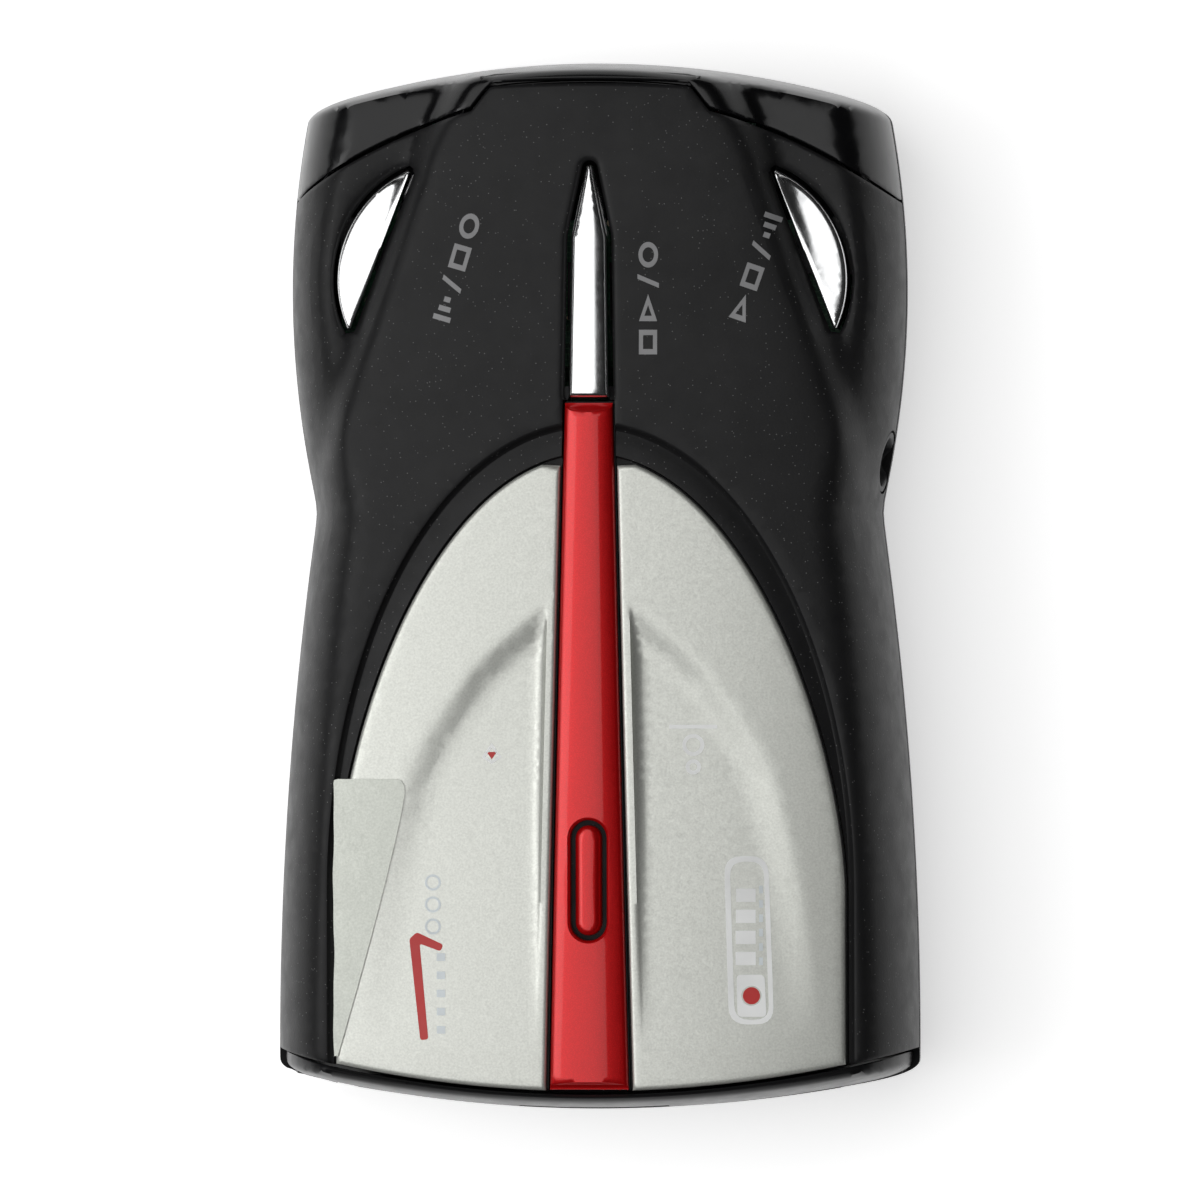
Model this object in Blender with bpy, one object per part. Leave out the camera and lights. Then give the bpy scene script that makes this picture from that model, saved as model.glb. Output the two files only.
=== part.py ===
"""Dashboard and windscreen radar detector, built as the assembly it is.

Frame: +Z up, +Y towards the driver (display end), -Y towards the windscreen (antenna end),
+X to the right when the display end points away. The origin is under the centre of the body,
on the surface that its pads stand on. The numbers below are millimetres.
"""

import math

import bmesh
import bpy
import numpy as np
from mathutils import Matrix, Vector

MM = 0.001

# Driving dimensions of the body
PARTING_Z = 12.0  # the plane where the two casings meet
SEAM_Z = 12.1  # lower rim of the top casing, window and antenna cover
FLOOR_Z = 1.6  # underside of the bottom casing, above the pads
CREST_Z = 31.0  # highest line of the top casing
WING_Z = 25.6  # the lower shoulders beside the display end
REAR_Y = 55.0
FRONT_Y = -55.0
SIDE_ROUND = 6.0
REAR_ROUND = 1.6
FRONT_ROUND = 1.5
CORNER_POWER = 3.0

# Walls and gaps
TOP_WALL = 2.6
TUB_WALL = 2.4
WINDOW_WALL = 2.0
LENS_WALL = 1.6
GAP = 0.3

# Inlays of the top casing: depths below its skin
ARCH_DEPTH = 0.8
PANEL_POCKET = 1.6
PANEL_TOP = 0.1
PANEL_THICK = 1.2
STRIP_POCKET = 1.9
STRIP_CROWN = 0.5
STRIP_ENDS = (-52.6, 19.1)
PANEL_APEX_Y = 13.0

# Buttons
MOAT = 0.5  # width of the gap round each button
BUTTON_PROUD = 0.3
SELECT_ENDS = (19.7, 44.0)
SELECT_SHOULDER_Y = 36.5
MOON_START = (18.9, 43.7)
MOON_END = (25.5, 26.5)
MOON_RISE = 4.0
RELEASE_ENDS = (-36.5, -25.0)
RELEASE_HALF = 1.35
SWITCH_Z = 15.3
STEM_FOOT_Z = 19.6

# Boards and what stands on them
BOARD_Z = (8.8, 10.4)
KEY_BOARD_Z = (13.6, 15.0)
ON_BOARD = BOARD_Z[1] + GAP
WHEEL_AXIS = (-24.0, 15.0)
WHEEL_RADIUS = 7.0
JACK_Y = 13.0
JACK_Z = 15.6
SPEAKER_Y = 20.0
GRILLE_PITCH = 3.1

# Fasteners
REAR_BOSS = (14.5, 42.0)
FRONT_BOSS = (27.0, -44.0)
BOARD_POST = (20.0, -30.0)

# Bracket channel and latch
CHANNEL_HALF = 7.7
CHANNEL_Z = (20.4, 23.0)
CHANNEL_ENDS = (-52.4, -24.0)
LATCH_Y = (-33.0, -29.0)
SPRING_Y = -20.0
SPRING_Z = (14.4, 17.6)

CUTTER_TURN = 0.13


# ---------------------------------------------------------------- the body's surface


def smooth_max(a, b, k):
    return (a + b + np.sqrt((a - b) ** 2 + k * k)) / 2


def half_width(y):
    """Half the width of the plan outline: a long tapering hull and a barrel-sided rear block."""
    hull = 33.75 - 0.00129 * (y + 48.0) ** 2
    rear_block = 32.4 - 0.0051 * (y - 31.0) ** 2
    return smooth_max(hull, rear_block, 0.35)


def rear_line(x):
    return REAR_Y - 0.00518 * x * x


def front_line(x):
    return FRONT_Y + 0.00345 * x * x


def casing_front(x):
    """Front edge of the top casing, where the antenna cover starts."""
    return -52.9 + 0.0039 * x * x


def window_edge(x):
    """Front edge of the display window, with the tongue of the casing in its middle."""
    arc = 51.5 - 0.0109 * x * x
    tongue = 52.7 - 0.003 * x * x
    blend = np.clip((12.4 - np.abs(x)) / 2.0, 0, 1)
    return arc + (tongue - arc) * blend


def ridge(y):
    """Half the width of the raised hull's flat top, which narrows towards the display."""
    return 28.1 - 0.32 * (y - 10.1) - 0.012 * np.maximum(y - 40.0, 0) ** 2


def crown_height(x, y):
    """Height of the top before its edges round over: the raised hull and the wings beside it."""
    past = np.abs(x) - ridge(y)
    drop = 1.15 * (past + np.sqrt(past * past + 0.8)) / 2
    hull = CREST_Z - 0.0006 * (y + 8.0) ** 2 - 0.0035 * x * x - drop
    wing = WING_Z - 0.0015 * (y - 25.0) ** 2 - 0.004 * np.maximum(np.abs(x) - 18.0, 0) ** 2
    return smooth_max(hull, wing, 0.8)


def edge_ratio(x, y, inset):
    """0 inside the rounded border of the body, 1 on its outline."""
    side = 1 - (half_width(y) - inset - np.abs(x)) / (SIDE_ROUND - inset)
    rear = 1 - (rear_line(x) - inset - y) / max(REAR_ROUND - inset, 1.0)
    front = 1 - (y - inset - front_line(x)) / max(FRONT_ROUND - inset, 1.0)
    side, rear, front = (np.clip(v, 0, 1) for v in (side, rear, front))
    total = side**CORNER_POWER + rear**CORNER_POWER + front**CORNER_POWER
    return np.clip(total ** (1 / CORNER_POWER), 0, 1)


def skin_height(x, y, inset=0.0):
    """Height of the top casing's outer skin, or of the same skin moved in by inset."""
    rise = crown_height(x, y) - inset - PARTING_Z
    return PARTING_Z + rise * np.sqrt(1 - edge_ratio(x, y, inset) ** 2)


# ---------------------------------------------------------------- meshes and materials


def material(name, colour, roughness, metallic=0.0):
    found = bpy.data.materials.get(name) or bpy.data.materials.new(name)
    found.use_nodes = True
    shader = found.node_tree.nodes["Principled BSDF"]
    shader.inputs["Base Color"].default_value = (*colour, 1.0)
    shader.inputs["Roughness"].default_value = roughness
    shader.inputs["Metallic"].default_value = metallic
    return found


BLACK = material("black_plastic", (0.022, 0.022, 0.023), 0.45)
SMOKED = material("smoked_window", (0.006, 0.006, 0.007), 0.08)
SILVER = material("silver_paint", (0.56, 0.57, 0.53), 0.35, 0.6)
RED = material("red_metallic", (0.55, 0.008, 0.012), 0.2, 0.4)
CHROME = material("chrome", (0.9, 0.9, 0.9), 0.06, 1.0)
FOIL = material("foil", (0.5, 0.51, 0.48), 0.3, 0.8)
BOARD = material("circuit_board", (0.02, 0.14, 0.06), 0.5)
CHIP = material("chip_black", (0.02, 0.02, 0.02), 0.5)
TINNED = material("tinned_steel", (0.6, 0.6, 0.6), 0.3, 1.0)
DIE_CAST = material("die_cast", (0.5, 0.5, 0.52), 0.45, 1.0)
RUBBER = material("rubber", (0.03, 0.03, 0.03), 0.9)
LABEL = material("label", (0.7, 0.7, 0.7), 0.6)
LENS = material("lens", (0.3, 0.02, 0.03), 0.05)
SCREW = material("screw_steel", (0.25, 0.25, 0.27), 0.35, 1.0)
SPRING = material("spring_steel", (0.45, 0.45, 0.47), 0.3, 1.0)


def add_object(name, bm, finish, smooth=False):
    """A named object from a bmesh in millimetres, its faces turned outwards."""
    bmesh.ops.recalc_face_normals(bm, faces=bm.faces)
    bmesh.ops.scale(bm, vec=(MM, MM, MM), verts=bm.verts)
    mesh = bpy.data.meshes.new(name)
    bm.to_mesh(mesh)
    bm.free()
    made = bpy.data.objects.new(name, mesh)
    bpy.context.scene.collection.objects.link(made)
    if finish is None:
        made.hide_render = True
        made.display_type = "WIRE"
    else:
        mesh.materials.append(finish)
    if smooth:
        mesh.shade_smooth()
        mesh.set_sharp_from_angle(angle=math.radians(35))
    return made


def boolean(target, tool, operation):
    step = target.modifiers.new(f"{operation.lower()}_{tool.name}", "BOOLEAN")
    step.operation = operation
    step.solver = "EXACT"
    step.object = tool
    return target


def cut(target, *tools):
    for tool in tools:
        boolean(target, tool, "DIFFERENCE")
    return target


def join(target, *tools):
    for tool in tools:
        boolean(target, tool, "UNION")
    return target


def clean(target):
    """Merges the specks that a Boolean leaves where two surfaces almost meet."""
    target.modifiers.new("triangles", "TRIANGULATE")
    weld = target.modifiers.new("weld", "WELD")
    weld.merge_threshold = 0.02 * MM
    return target


def hang_on(made, origin):
    """Moves the object's origin to origin, a point on its joint's axis, and leaves its shape."""
    point = Vector(origin) * MM
    made.data.transform(Matrix.Translation(-point))
    made.location = point
    return made


def slab(name, xs, ys, low, high, finish=None):
    """Closed solid over a plan grid of points, between the heights low and high."""
    bm = bmesh.new()
    rows, columns = xs.shape
    levels = [np.broadcast_to(level, xs.shape) for level in (low, high)]
    grid = [
        [[bm.verts.new((xs[i, j], ys[i, j], z[i, j])) for j in range(columns)] for i in range(rows)]
        for z in levels
    ]
    for level in grid:
        for i in range(rows - 1):
            for j in range(columns - 1):
                bm.faces.new((level[i][j], level[i][j + 1], level[i + 1][j + 1], level[i + 1][j]))
    rim = [(0, j) for j in range(columns - 1)]
    rim += [(i, columns - 1) for i in range(rows - 1)]
    rim += [(rows - 1, j) for j in range(columns - 1, 0, -1)]
    rim += [(i, 0) for i in range(rows - 1, 0, -1)]
    for (a, b), (c, d) in zip(rim, rim[1:] + rim[:1]):
        bm.faces.new((grid[0][a][b], grid[0][c][d], grid[1][c][d], grid[1][a][b]))
    return add_object(name, bm, finish)


def box(name, low, high, finish=None, bevel=0.0):
    bm = bmesh.new()
    bmesh.ops.create_cube(bm, size=1.0)
    low, high = Vector(low), Vector(high)
    bmesh.ops.scale(bm, vec=high - low, verts=bm.verts)
    bmesh.ops.translate(bm, vec=(low + high) / 2, verts=bm.verts)
    if bevel:
        upright = [e for e in bm.edges if abs(e.verts[0].co.z - e.verts[1].co.z) > 0.1]
        bmesh.ops.bevel(bm, geom=upright, offset=bevel, segments=3, affect="EDGES", profile=0.5)
    return add_object(name, bm, finish)


def prism(name, outline, low, high, finish=None):
    """Upright solid with the given plan outline."""
    bm = bmesh.new()
    base = bm.faces.new([bm.verts.new((x, y, low)) for x, y in outline])
    grown = bmesh.ops.extrude_face_region(bm, geom=[base])
    top = [v for v in grown["geom"] if isinstance(v, bmesh.types.BMVert)]
    bmesh.ops.translate(bm, vec=(0, 0, high - low), verts=top)
    return add_object(name, bm, finish)


def turned(name, profile, centre, finish=None, axis="Z", sides=16):
    """Solid of revolution. The profile lists (radius, height) from one end of its axis to the other.

    A profile that keeps off the axis closes on itself and makes a ring.
    """
    bm = bmesh.new()
    verts = [bm.verts.new((radius, 0, height)) for radius, height in profile]
    ring = verts[:1] if profile[0][0] > 0 else []
    edges = [bm.edges.new(pair) for pair in zip(verts, verts[1:] + ring)]
    bmesh.ops.spin(
        bm, geom=verts + edges, cent=(0, 0, 0), axis=(0, 0, 1), angle=math.tau, steps=sides
    )
    bmesh.ops.remove_doubles(bm, verts=bm.verts, dist=1e-4)
    if finish is None:  # a cutter's corners keep clear of its target's
        skew = Matrix.Rotation(CUTTER_TURN, 3, "Z")
        bmesh.ops.rotate(bm, cent=(0, 0, 0), matrix=skew, verts=bm.verts)
    quarter, about = {"Z": (0, "Z"), "Y": (-math.pi / 2, "X"), "X": (math.pi / 2, "Y")}[axis]
    turn = Matrix.Rotation(quarter, 3, about)
    bmesh.ops.rotate(bm, cent=(0, 0, 0), matrix=turn, verts=bm.verts)
    bmesh.ops.translate(bm, vec=centre, verts=bm.verts)
    return add_object(name, bm, finish, smooth=finish is not None)


def rod(name, radius, low, high, centre, finish=None, axis="Z", sides=16):
    """Plain cylinder from low to high along its axis."""
    profile = [(0, low), (radius, low), (radius, high), (0, high)]
    return turned(name, profile, centre, finish, axis, sides)


# ---------------------------------------------------------------- plan outlines


def valley(y):
    """Half the width of the sunken arch that holds the silver panels."""
    return 27.4 * np.sqrt(np.clip(1 - (np.maximum(y + 32.0, 0) / 48.8) ** 2, 0, 1))


def panel_outer(y):
    """Outer edge of a silver panel, a pointed arch."""
    return 26.7 * np.sqrt(np.clip(1 - (np.maximum(y + 32.0, 0) / 45.6) ** 1.62, 0, 1))


def panel_inner(y):
    return 3.0 + 0.0245 * (11.7 - y)


def strip_half(y):
    return 2.45 + 0.0225 * (16.4 - y)


def select_half(y):
    """Half the width of the pencil-shaped centre button."""
    body = 1.85 + 0.015 * (SELECT_SHOULDER_Y - y)
    tip = 0.25 + 1.6 * (SELECT_ENDS[1] - y) / (SELECT_ENDS[1] - SELECT_SHOULDER_Y)
    return np.minimum(body, tip)


def moon_frame():
    """Start point, direction along the straight side, direction across, and length of that side."""
    start, end = Vector(MOON_START), Vector(MOON_END)
    along = (end - start).normalized()
    return start, along, Vector((-along.y, along.x)), (end - start).length


def moon_grid(side, grow, rows=11, columns=3):
    """Plan points of a half-moon button, whose outer side is an arc of a circle."""
    start, along, across, length = moon_frame()
    radius = (length**2 / 4 + MOON_RISE**2) / (2 * MOON_RISE)
    blunt = 0.35  # how far the ends stop short of the sharp corners
    t = np.linspace(blunt - grow, length - blunt + grow, rows)[:, None]
    s = np.linspace(0, 1, columns)[None, :]
    bow = np.sqrt((radius + grow) ** 2 - (t - length / 2) ** 2) - (radius - MOON_RISE)
    reach = -grow + (np.maximum(bow, 0.1) + grow) * s
    x = start.x + along.x * t + across.x * reach
    return side * x, start.y + along.y * t + across.y * reach


def arch_steps(count):
    """Ratios from an arch's apex to its foot, closer together where it curves most."""
    return np.linspace(0, 1, count) ** 1.7


def arch_grid(half, apex_y, foot_y, rows, columns, grow=0.0):
    """Plan points inside an arch, from its apex past its foot and out of the casing's front."""
    y = np.concatenate([[apex_y + grow], apex_y + (foot_y - apex_y) * arch_steps(rows), [-56.0]])[:, None]
    s = np.linspace(-1, 1, columns)[None, :]
    return (half(np.minimum(y, apex_y)) + grow) * s, y + 0 * s


def across_grid(half, low, high, rows, columns, grow=0.0):
    """Plan points of a shape symmetric about the centre line, with half its width given by y."""
    y = np.linspace(low - grow, high + grow, rows)[:, None]
    s = np.linspace(-1, 1, columns)[None, :]
    return (half(np.clip(y, low, high)) + grow) * s, y + 0 * s


def between_grid(front, rear, reach, rows, columns):
    """Plan points between two lines that cross the whole body, each given by x."""
    x = np.linspace(-reach, reach, columns)[None, :]
    t = np.linspace(0, 1, rows)[:, None]
    return x + 0 * t, front(x) + (rear(x) - front(x)) * t


def stadium(centre_y, half, length, steps=7):
    """Plan outline of a slot with round ends along Y."""
    reach = length / 2 - half
    ends = []
    for turn, shift in ((0, reach), (math.pi, -reach)):
        for k in range(steps + 1):
            angle = turn + math.pi * k / steps
            ends.append((half * math.cos(angle), centre_y + shift + half * math.sin(angle)))
    return ends


# ---------------------------------------------------------------- casings


def border_steps(steps):
    """Ratios from 0 to 1 that space points evenly round a quarter circle."""
    return [math.sin(math.pi / 2 * k / steps) for k in range(1, steps + 1)]


def split_corner(bm, quad, main_diagonal):
    """Cuts a quad at a corner of the rim along the diagonal that starts at that corner."""
    face = bm.faces.get(quad)
    ends = (quad[0], quad[2]) if main_diagonal else (quad[1], quad[3])
    bmesh.utils.face_split(face, *ends)


def body_solid(name, inset, finish=None, columns=13, rows=19, rounds=3, stretch=0.0):
    """The whole body as one closed solid, its skin moved in by inset and its ends out by stretch."""
    border = border_steps(rounds)
    inner_x = [2 * k / columns - 1 for k in range(columns + 1)]
    inner_y = [k / rows for k in range(rows + 1)]
    x_list = [(-1, q) for q in reversed(border)] + [(s, 0) for s in inner_x]
    x_list += [(1, q) for q in border]
    y_list = [(0, q) for q in reversed(border)] + [(t, 0) for t in inner_y]
    y_list += [(1, q) for q in border]
    s, side_q = (np.array([c[k] for c in x_list])[None, :] for k in (0, 1))
    t, end_q = (np.array([c[k] for c in y_list])[:, None] for k in (0, 1))
    most = np.maximum(side_q, end_q)
    norm = (side_q**CORNER_POWER + end_q**CORNER_POWER) ** (1 / CORNER_POWER)
    shrink = np.where(norm > 0, most / np.where(norm > 0, norm, 1), 1)
    side_round = SIDE_ROUND - inset
    rear_round, front_round = (max(r - inset, 1.0) for r in (REAR_ROUND, FRONT_ROUND))
    x = np.zeros((len(y_list), len(x_list)))
    for _ in range(6):
        low = front_line(x) + inset + front_round - stretch
        high = rear_line(x) - inset - rear_round + stretch
        past = np.where(t > 0.5, rear_round, -front_round) * end_q * shrink
        y = low + (high - low) * t + past
        x = s * (half_width(y) - inset - side_round + side_round * side_q * shrink)
    bm = bmesh.new()
    rim = np.isclose(most, 1)
    rise = np.sqrt(1 - np.clip(most, 0, 1) ** 2)
    tops = PARTING_Z + (crown_height(x, y) - inset - PARTING_Z) * rise
    bellies = PARTING_Z - (PARTING_Z - FLOOR_Z - inset) * rise
    upper, lower = [], []
    for i in range(x.shape[0]):
        above = [bm.verts.new(spot) for spot in zip(x[i], y[i], tops[i])]
        below = [
            top if on_rim else bm.verts.new(spot)
            for top, on_rim, spot in zip(above, rim[i], zip(x[i], y[i], bellies[i]))
        ]
        upper.append(above)
        lower.append(below)
    last_row, last_column = x.shape[0] - 2, x.shape[1] - 2
    for level in (upper, lower):
        for i in range(last_row + 1):
            for j in range(last_column + 1):
                quad = (level[i][j], level[i][j + 1], level[i + 1][j + 1], level[i + 1][j])
                bm.faces.new(quad)
                if i in (0, last_row) and j in (0, last_column):
                    split_corner(bm, quad, (i > 0) == (j > 0))
    return add_object(name, bm, finish)


def inlay_cutters():
    """Pockets for the panels and the strip, and the sunken arch round them."""
    strip_x, strip_y = across_grid(strip_half, -56.0, STRIP_ENDS[1], 12, 2, GAP)
    cutters = []
    for name, (x, y), depth in (
        ("arch_cutter", arch_grid(valley, 16.4, -50.1, 15, 10, 0.2), ARCH_DEPTH),
        ("panel_cutter", arch_grid(panel_outer, PANEL_APEX_Y, -50.1, 14, 8, GAP), PANEL_POCKET),
        ("strip_cutter", (strip_x, strip_y), STRIP_POCKET),
    ):
        level = crown_height(x, y)
        cutters.append(slab(name, x, y, level - depth, level + 4.0))
    return cutters


def button_cutters():
    """Holes through the top casing for the four buttons, a moat wider than each."""
    x, y = across_grid(select_half, *SELECT_ENDS, 8, 2, MOAT)
    cutters = [slab("select_cutter", x, y, 18.0, 40.0)]
    for side, name in ((-1, "set_cutter"), (1, "program_cutter")):
        x, y = moon_grid(side, MOAT)
        cutters.append(slab(name, x, y, 16.0, 40.0))
    middle = sum(RELEASE_ENDS) / 2
    length = RELEASE_ENDS[1] - RELEASE_ENDS[0] + 2 * MOAT
    cutters.append(prism("release_cutter", stadium(middle, RELEASE_HALF + MOAT, length), 24.0, 40.0))
    return cutters


def boss_places():
    return [(side * x, y) for x, y in (REAR_BOSS, FRONT_BOSS) for side in (-1, 1)]


def make_top_housing(inlays, buttons):
    made = body_solid("top_housing", 0.0, BLACK)
    cut(made, body_solid("top_cavity", TOP_WALL, columns=9, rows=12, rounds=2, stretch=5.0))
    x, y = between_grid(casing_front, lambda v: window_edge(v) - GAP / 2, 36.0, 2, 36)
    boolean(made, slab("top_region", x, y, SEAM_Z, 40.0), "INTERSECT")
    for tool in (*inlays, *buttons):
        cut(clean(made), tool)
    for k, (x, y) in enumerate(boss_places()):
        roof = float(crown_height(np.float64(x), np.float64(y))) - PANEL_POCKET - 0.5
        join(made, rod(f"top_boss_{k}", 2.8, PARTING_Z + GAP, roof, (x, y, 0), sides=12))
    for k, (x, y) in enumerate(boss_places()):
        cut(made, rod(f"top_bore_{k}", 1.6, PARTING_Z - 1, 22.0, (x, y, 0), sides=10))
    cut(made, rod("jack_hole", 3.35, 26.0, 34.0, (0, JACK_Y, JACK_Z), axis="X", sides=20))
    return clean(made)


def make_bottom_housing():
    made = body_solid("bottom_housing", 0.0, BLACK, columns=7, rows=13)
    cut(made, body_solid("tub_cavity", TUB_WALL, columns=5, rows=9, rounds=2))
    cut(made, box("above_parting", (-40, -60, PARTING_Z - GAP), (40, 60, 40)))
    for k, (x, y) in enumerate(boss_places()):
        join(made, rod(f"tub_boss_{k}", 3.6, 3.3, 11.4, (x, y, 0), sides=12))
    posts = [(side * BOARD_POST[0], BOARD_POST[1], 0) for side in (-1, 1)]
    for k, place in enumerate(posts):
        join(made, rod(f"board_post_{k}", 2.5, 3.3, 8.5, place, sides=10))
    for k, (x, y) in enumerate(boss_places()):
        cut(made, rod(f"screw_well_{k}", 2.9, 0.0, 8.0, (x, y, 0), sides=12))
        cut(made, rod(f"tub_bore_{k}", 1.6, 7.0, 12.5, (x, y, 0), sides=10))
    for k, place in enumerate(posts):
        cut(made, rod(f"post_bore_{k}", 1.2, 5.0, 9.3, place, sides=9))
    for k in range(-3, 4):
        reach = math.sqrt(12.0**2 - (GRILLE_PITCH * k) ** 2)
        y = SPEAKER_Y + GRILLE_PITCH * k
        cut(made, box(f"grille_{k}", (-reach, y - 0.8, 0.0), (reach, y + 0.8, 4.8)))
    x, y = WHEEL_AXIS
    cut(made, box("wheel_slot", (-34.0, y - 7.6, 4.5), (-24.3, y + 7.6, 8.7)))
    cut(made, box("label_recess", (-15.0, -17.0, 0.0), (15.0, 1.0, FLOOR_Z + 0.4)))
    return clean(made)


def make_display_window():
    made = body_solid("display_window", 0.0, SMOKED)
    cut(made, body_solid("window_cavity", WINDOW_WALL, columns=9, rows=12, rounds=2))
    x, y = between_grid(lambda v: window_edge(v) + GAP / 2, lambda v: 60.0 + 0 * v, 36.0, 2, 36)
    return clean(boolean(made, slab("window_region", x, y, SEAM_Z, 40.0), "INTERSECT"))


def make_front_lens():
    made = body_solid("front_lens", 0.0, SMOKED)
    cut(made, body_solid("lens_cavity", LENS_WALL, columns=9, rows=12, rounds=2))
    x, y = between_grid(lambda v: -60.0 + 0 * v, lambda v: casing_front(v) - GAP, 36.0, 2, 18)
    boolean(made, slab("lens_region", x, y, SEAM_Z, 40.0), "INTERSECT")
    slot_low, slot_high = CHANNEL_Z[0] - 0.2, CHANNEL_Z[1] + 0.2
    half = CHANNEL_HALF + 0.2
    return clean(cut(made, box("bracket_slot", (-half, -60, slot_low), (half, -50, slot_high))))


# ---------------------------------------------------------------- inlays and buttons


def make_panel(side, name):
    """One silver panel, from the strip out to the arch and forward to the casing's front edge."""
    rows, columns = 14, 5
    t = arch_steps(rows)[:, None]
    s = np.linspace(0, 1, columns)[None, :]
    y = PANEL_APEX_Y + (casing_front(15.0 * s) - PANEL_APEX_Y) * t
    x = panel_inner(y) + (panel_outer(y) - panel_inner(y)) * s
    y = PANEL_APEX_Y + (casing_front(x) + 0.1 - PANEL_APEX_Y) * t
    level = skin_height(x, y) - PANEL_TOP
    return slab(name, side * x, y, crown_height(x, y) - PANEL_TOP - PANEL_THICK, level, SILVER)


def make_strip(release_cutter):
    x, y = across_grid(strip_half, *STRIP_ENDS, 14, 6)
    level = skin_height(x, y)
    bow = STRIP_CROWN * (1 - (x / strip_half(y)) ** 2)
    made = slab("centre_strip", x, y, crown_height(x, y) - STRIP_POCKET + GAP, level + bow, RED)
    return clean(cut(made, release_cutter))


def make_foil_label():
    """Thin blank film over the left panel's outer edge, lying on panel and casing."""
    y = np.linspace(-49.0, -20.2, 6)[:, None]
    s = np.linspace(0, 1, 4)[None, :]
    inner = -19.5 - 6.0 * np.clip((-20.2 - y) / 28.8, 0, 1)
    x = -26.6 + (inner + 26.6) * s
    level = skin_height(x, y) - PANEL_TOP + GAP
    return slab("foil_label", x, y + 0 * s, level, level + 0.12, FOIL)


def make_select_button():
    x, y = across_grid(select_half, *SELECT_ENDS, 9, 4)
    level = skin_height(x, y)
    bow = 0.5 * (1 - (x / select_half(y)) ** 2)
    made = slab("select_button", x, y, 25.8, level + BUTTON_PROUD + bow, CHROME)
    x, y = across_grid(select_half, *SELECT_ENDS, 5, 2, 1.0)
    join(made, slab("select_flange", x, y, 25.4, 26.3))
    join(made, rod("select_stem", 1.5, STEM_FOOT_Z, 26.0, (0, 31.0, 0), sides=12))
    return clean(made)


def moon_centre(side):
    """Where the half-moon button's stem stands."""
    start, along, across, length = moon_frame()
    point = start + along * length / 2 + across * 1.8
    return side * point.x, point.y


def make_moon_button(side, name):
    x, y = moon_grid(side, 0.0)
    level = skin_height(x, y) + BUTTON_PROUD
    made = slab(name, x, y, 20.3, level, CHROME)
    x, y = moon_grid(side, 1.0, rows=7, columns=2)
    join(made, slab(f"{name}_flange", x, y, 20.0, 20.6))
    join(made, rod(f"{name}_stem", 1.5, STEM_FOOT_Z, 20.3, (*moon_centre(side), 0), sides=12))
    return clean(made)


def make_release_button():
    middle = sum(RELEASE_ENDS) / 2
    length = RELEASE_ENDS[1] - RELEASE_ENDS[0]
    made = prism("release_button", stadium(middle, RELEASE_HALF, length), 27.3, 31.3, RED)
    flange = stadium(middle, RELEASE_HALF + 1.0, length + 2.0)
    return join(made, prism("release_flange", flange, 27.1, 27.6))


# ---------------------------------------------------------------- bracket channel and latch


def make_bracket_channel():
    """Flat sleeve that takes the windscreen bracket's tongue, with a slot below for the latch tooth."""
    half, wall = CHANNEL_HALF, 1.0
    low, high = CHANNEL_Z
    front, rear = CHANNEL_ENDS
    corner, opposite = (-half - wall, front, low - wall), (half + wall, rear, high + wall)
    made = box("bracket_channel", corner, opposite, BLACK)
    cut(made, box("channel_hollow", (-half, front - 8.0, low), (half, rear - 1.2, high)))
    slot_front, slot_rear = LATCH_Y[0] - 0.6, LATCH_Y[1] + 0.6
    return cut(made, box("tooth_slot", (-3.0, slot_front, low - 3), (3.0, slot_rear, low + 1)))


def make_latch_stirrup():
    """Frame round the channel: a plate under the button, two legs, and a bar with the tooth below."""
    y0, y1 = LATCH_Y
    made = box("latch_stirrup", (-10.6, y0, 17.9), (10.6, y1, 26.8), DIE_CAST)
    cut(made, box("stirrup_window", (-9.2, y0 - 1, 19.1), (9.2, y1 + 1, 25.8)))
    join(made, box("latch_tooth", (-2.4, y0 + 0.4, 18.6), (2.4, y1 - 0.4, 22.0)))
    join(made, box("spring_arm", (-3.4, y1 - 1.0, 17.9), (3.4, SPRING_Y + 3.4, 19.1)))
    return made


def make_release_spring():
    """Coil spring between the antenna's roof and the latch's arm."""
    turns, steps, coil, wire = 2.5, 12, 2.3, 0.3
    data = bpy.data.curves.new("release_spring", "CURVE")
    data.dimensions = "3D"
    data.bevel_depth = wire * MM
    data.bevel_resolution = 1
    data.use_fill_caps = True
    count = int(turns * steps) + 1
    line = data.splines.new("POLY")
    line.points.add(count - 1)
    low, high = SPRING_Z[0] + wire, SPRING_Z[1] - wire
    for k in range(count):
        angle = math.tau * k / steps
        height = low + (high - low) * k / (count - 1)
        spot = (coil * math.cos(angle), SPRING_Y + coil * math.sin(angle), height)
        line.points[k].co = (*(MM * v for v in spot), 1)
    data.materials.append(SPRING)
    made = bpy.data.objects.new("release_spring", data)
    bpy.context.scene.collection.objects.link(made)
    return made


# ---------------------------------------------------------------- electronics


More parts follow.
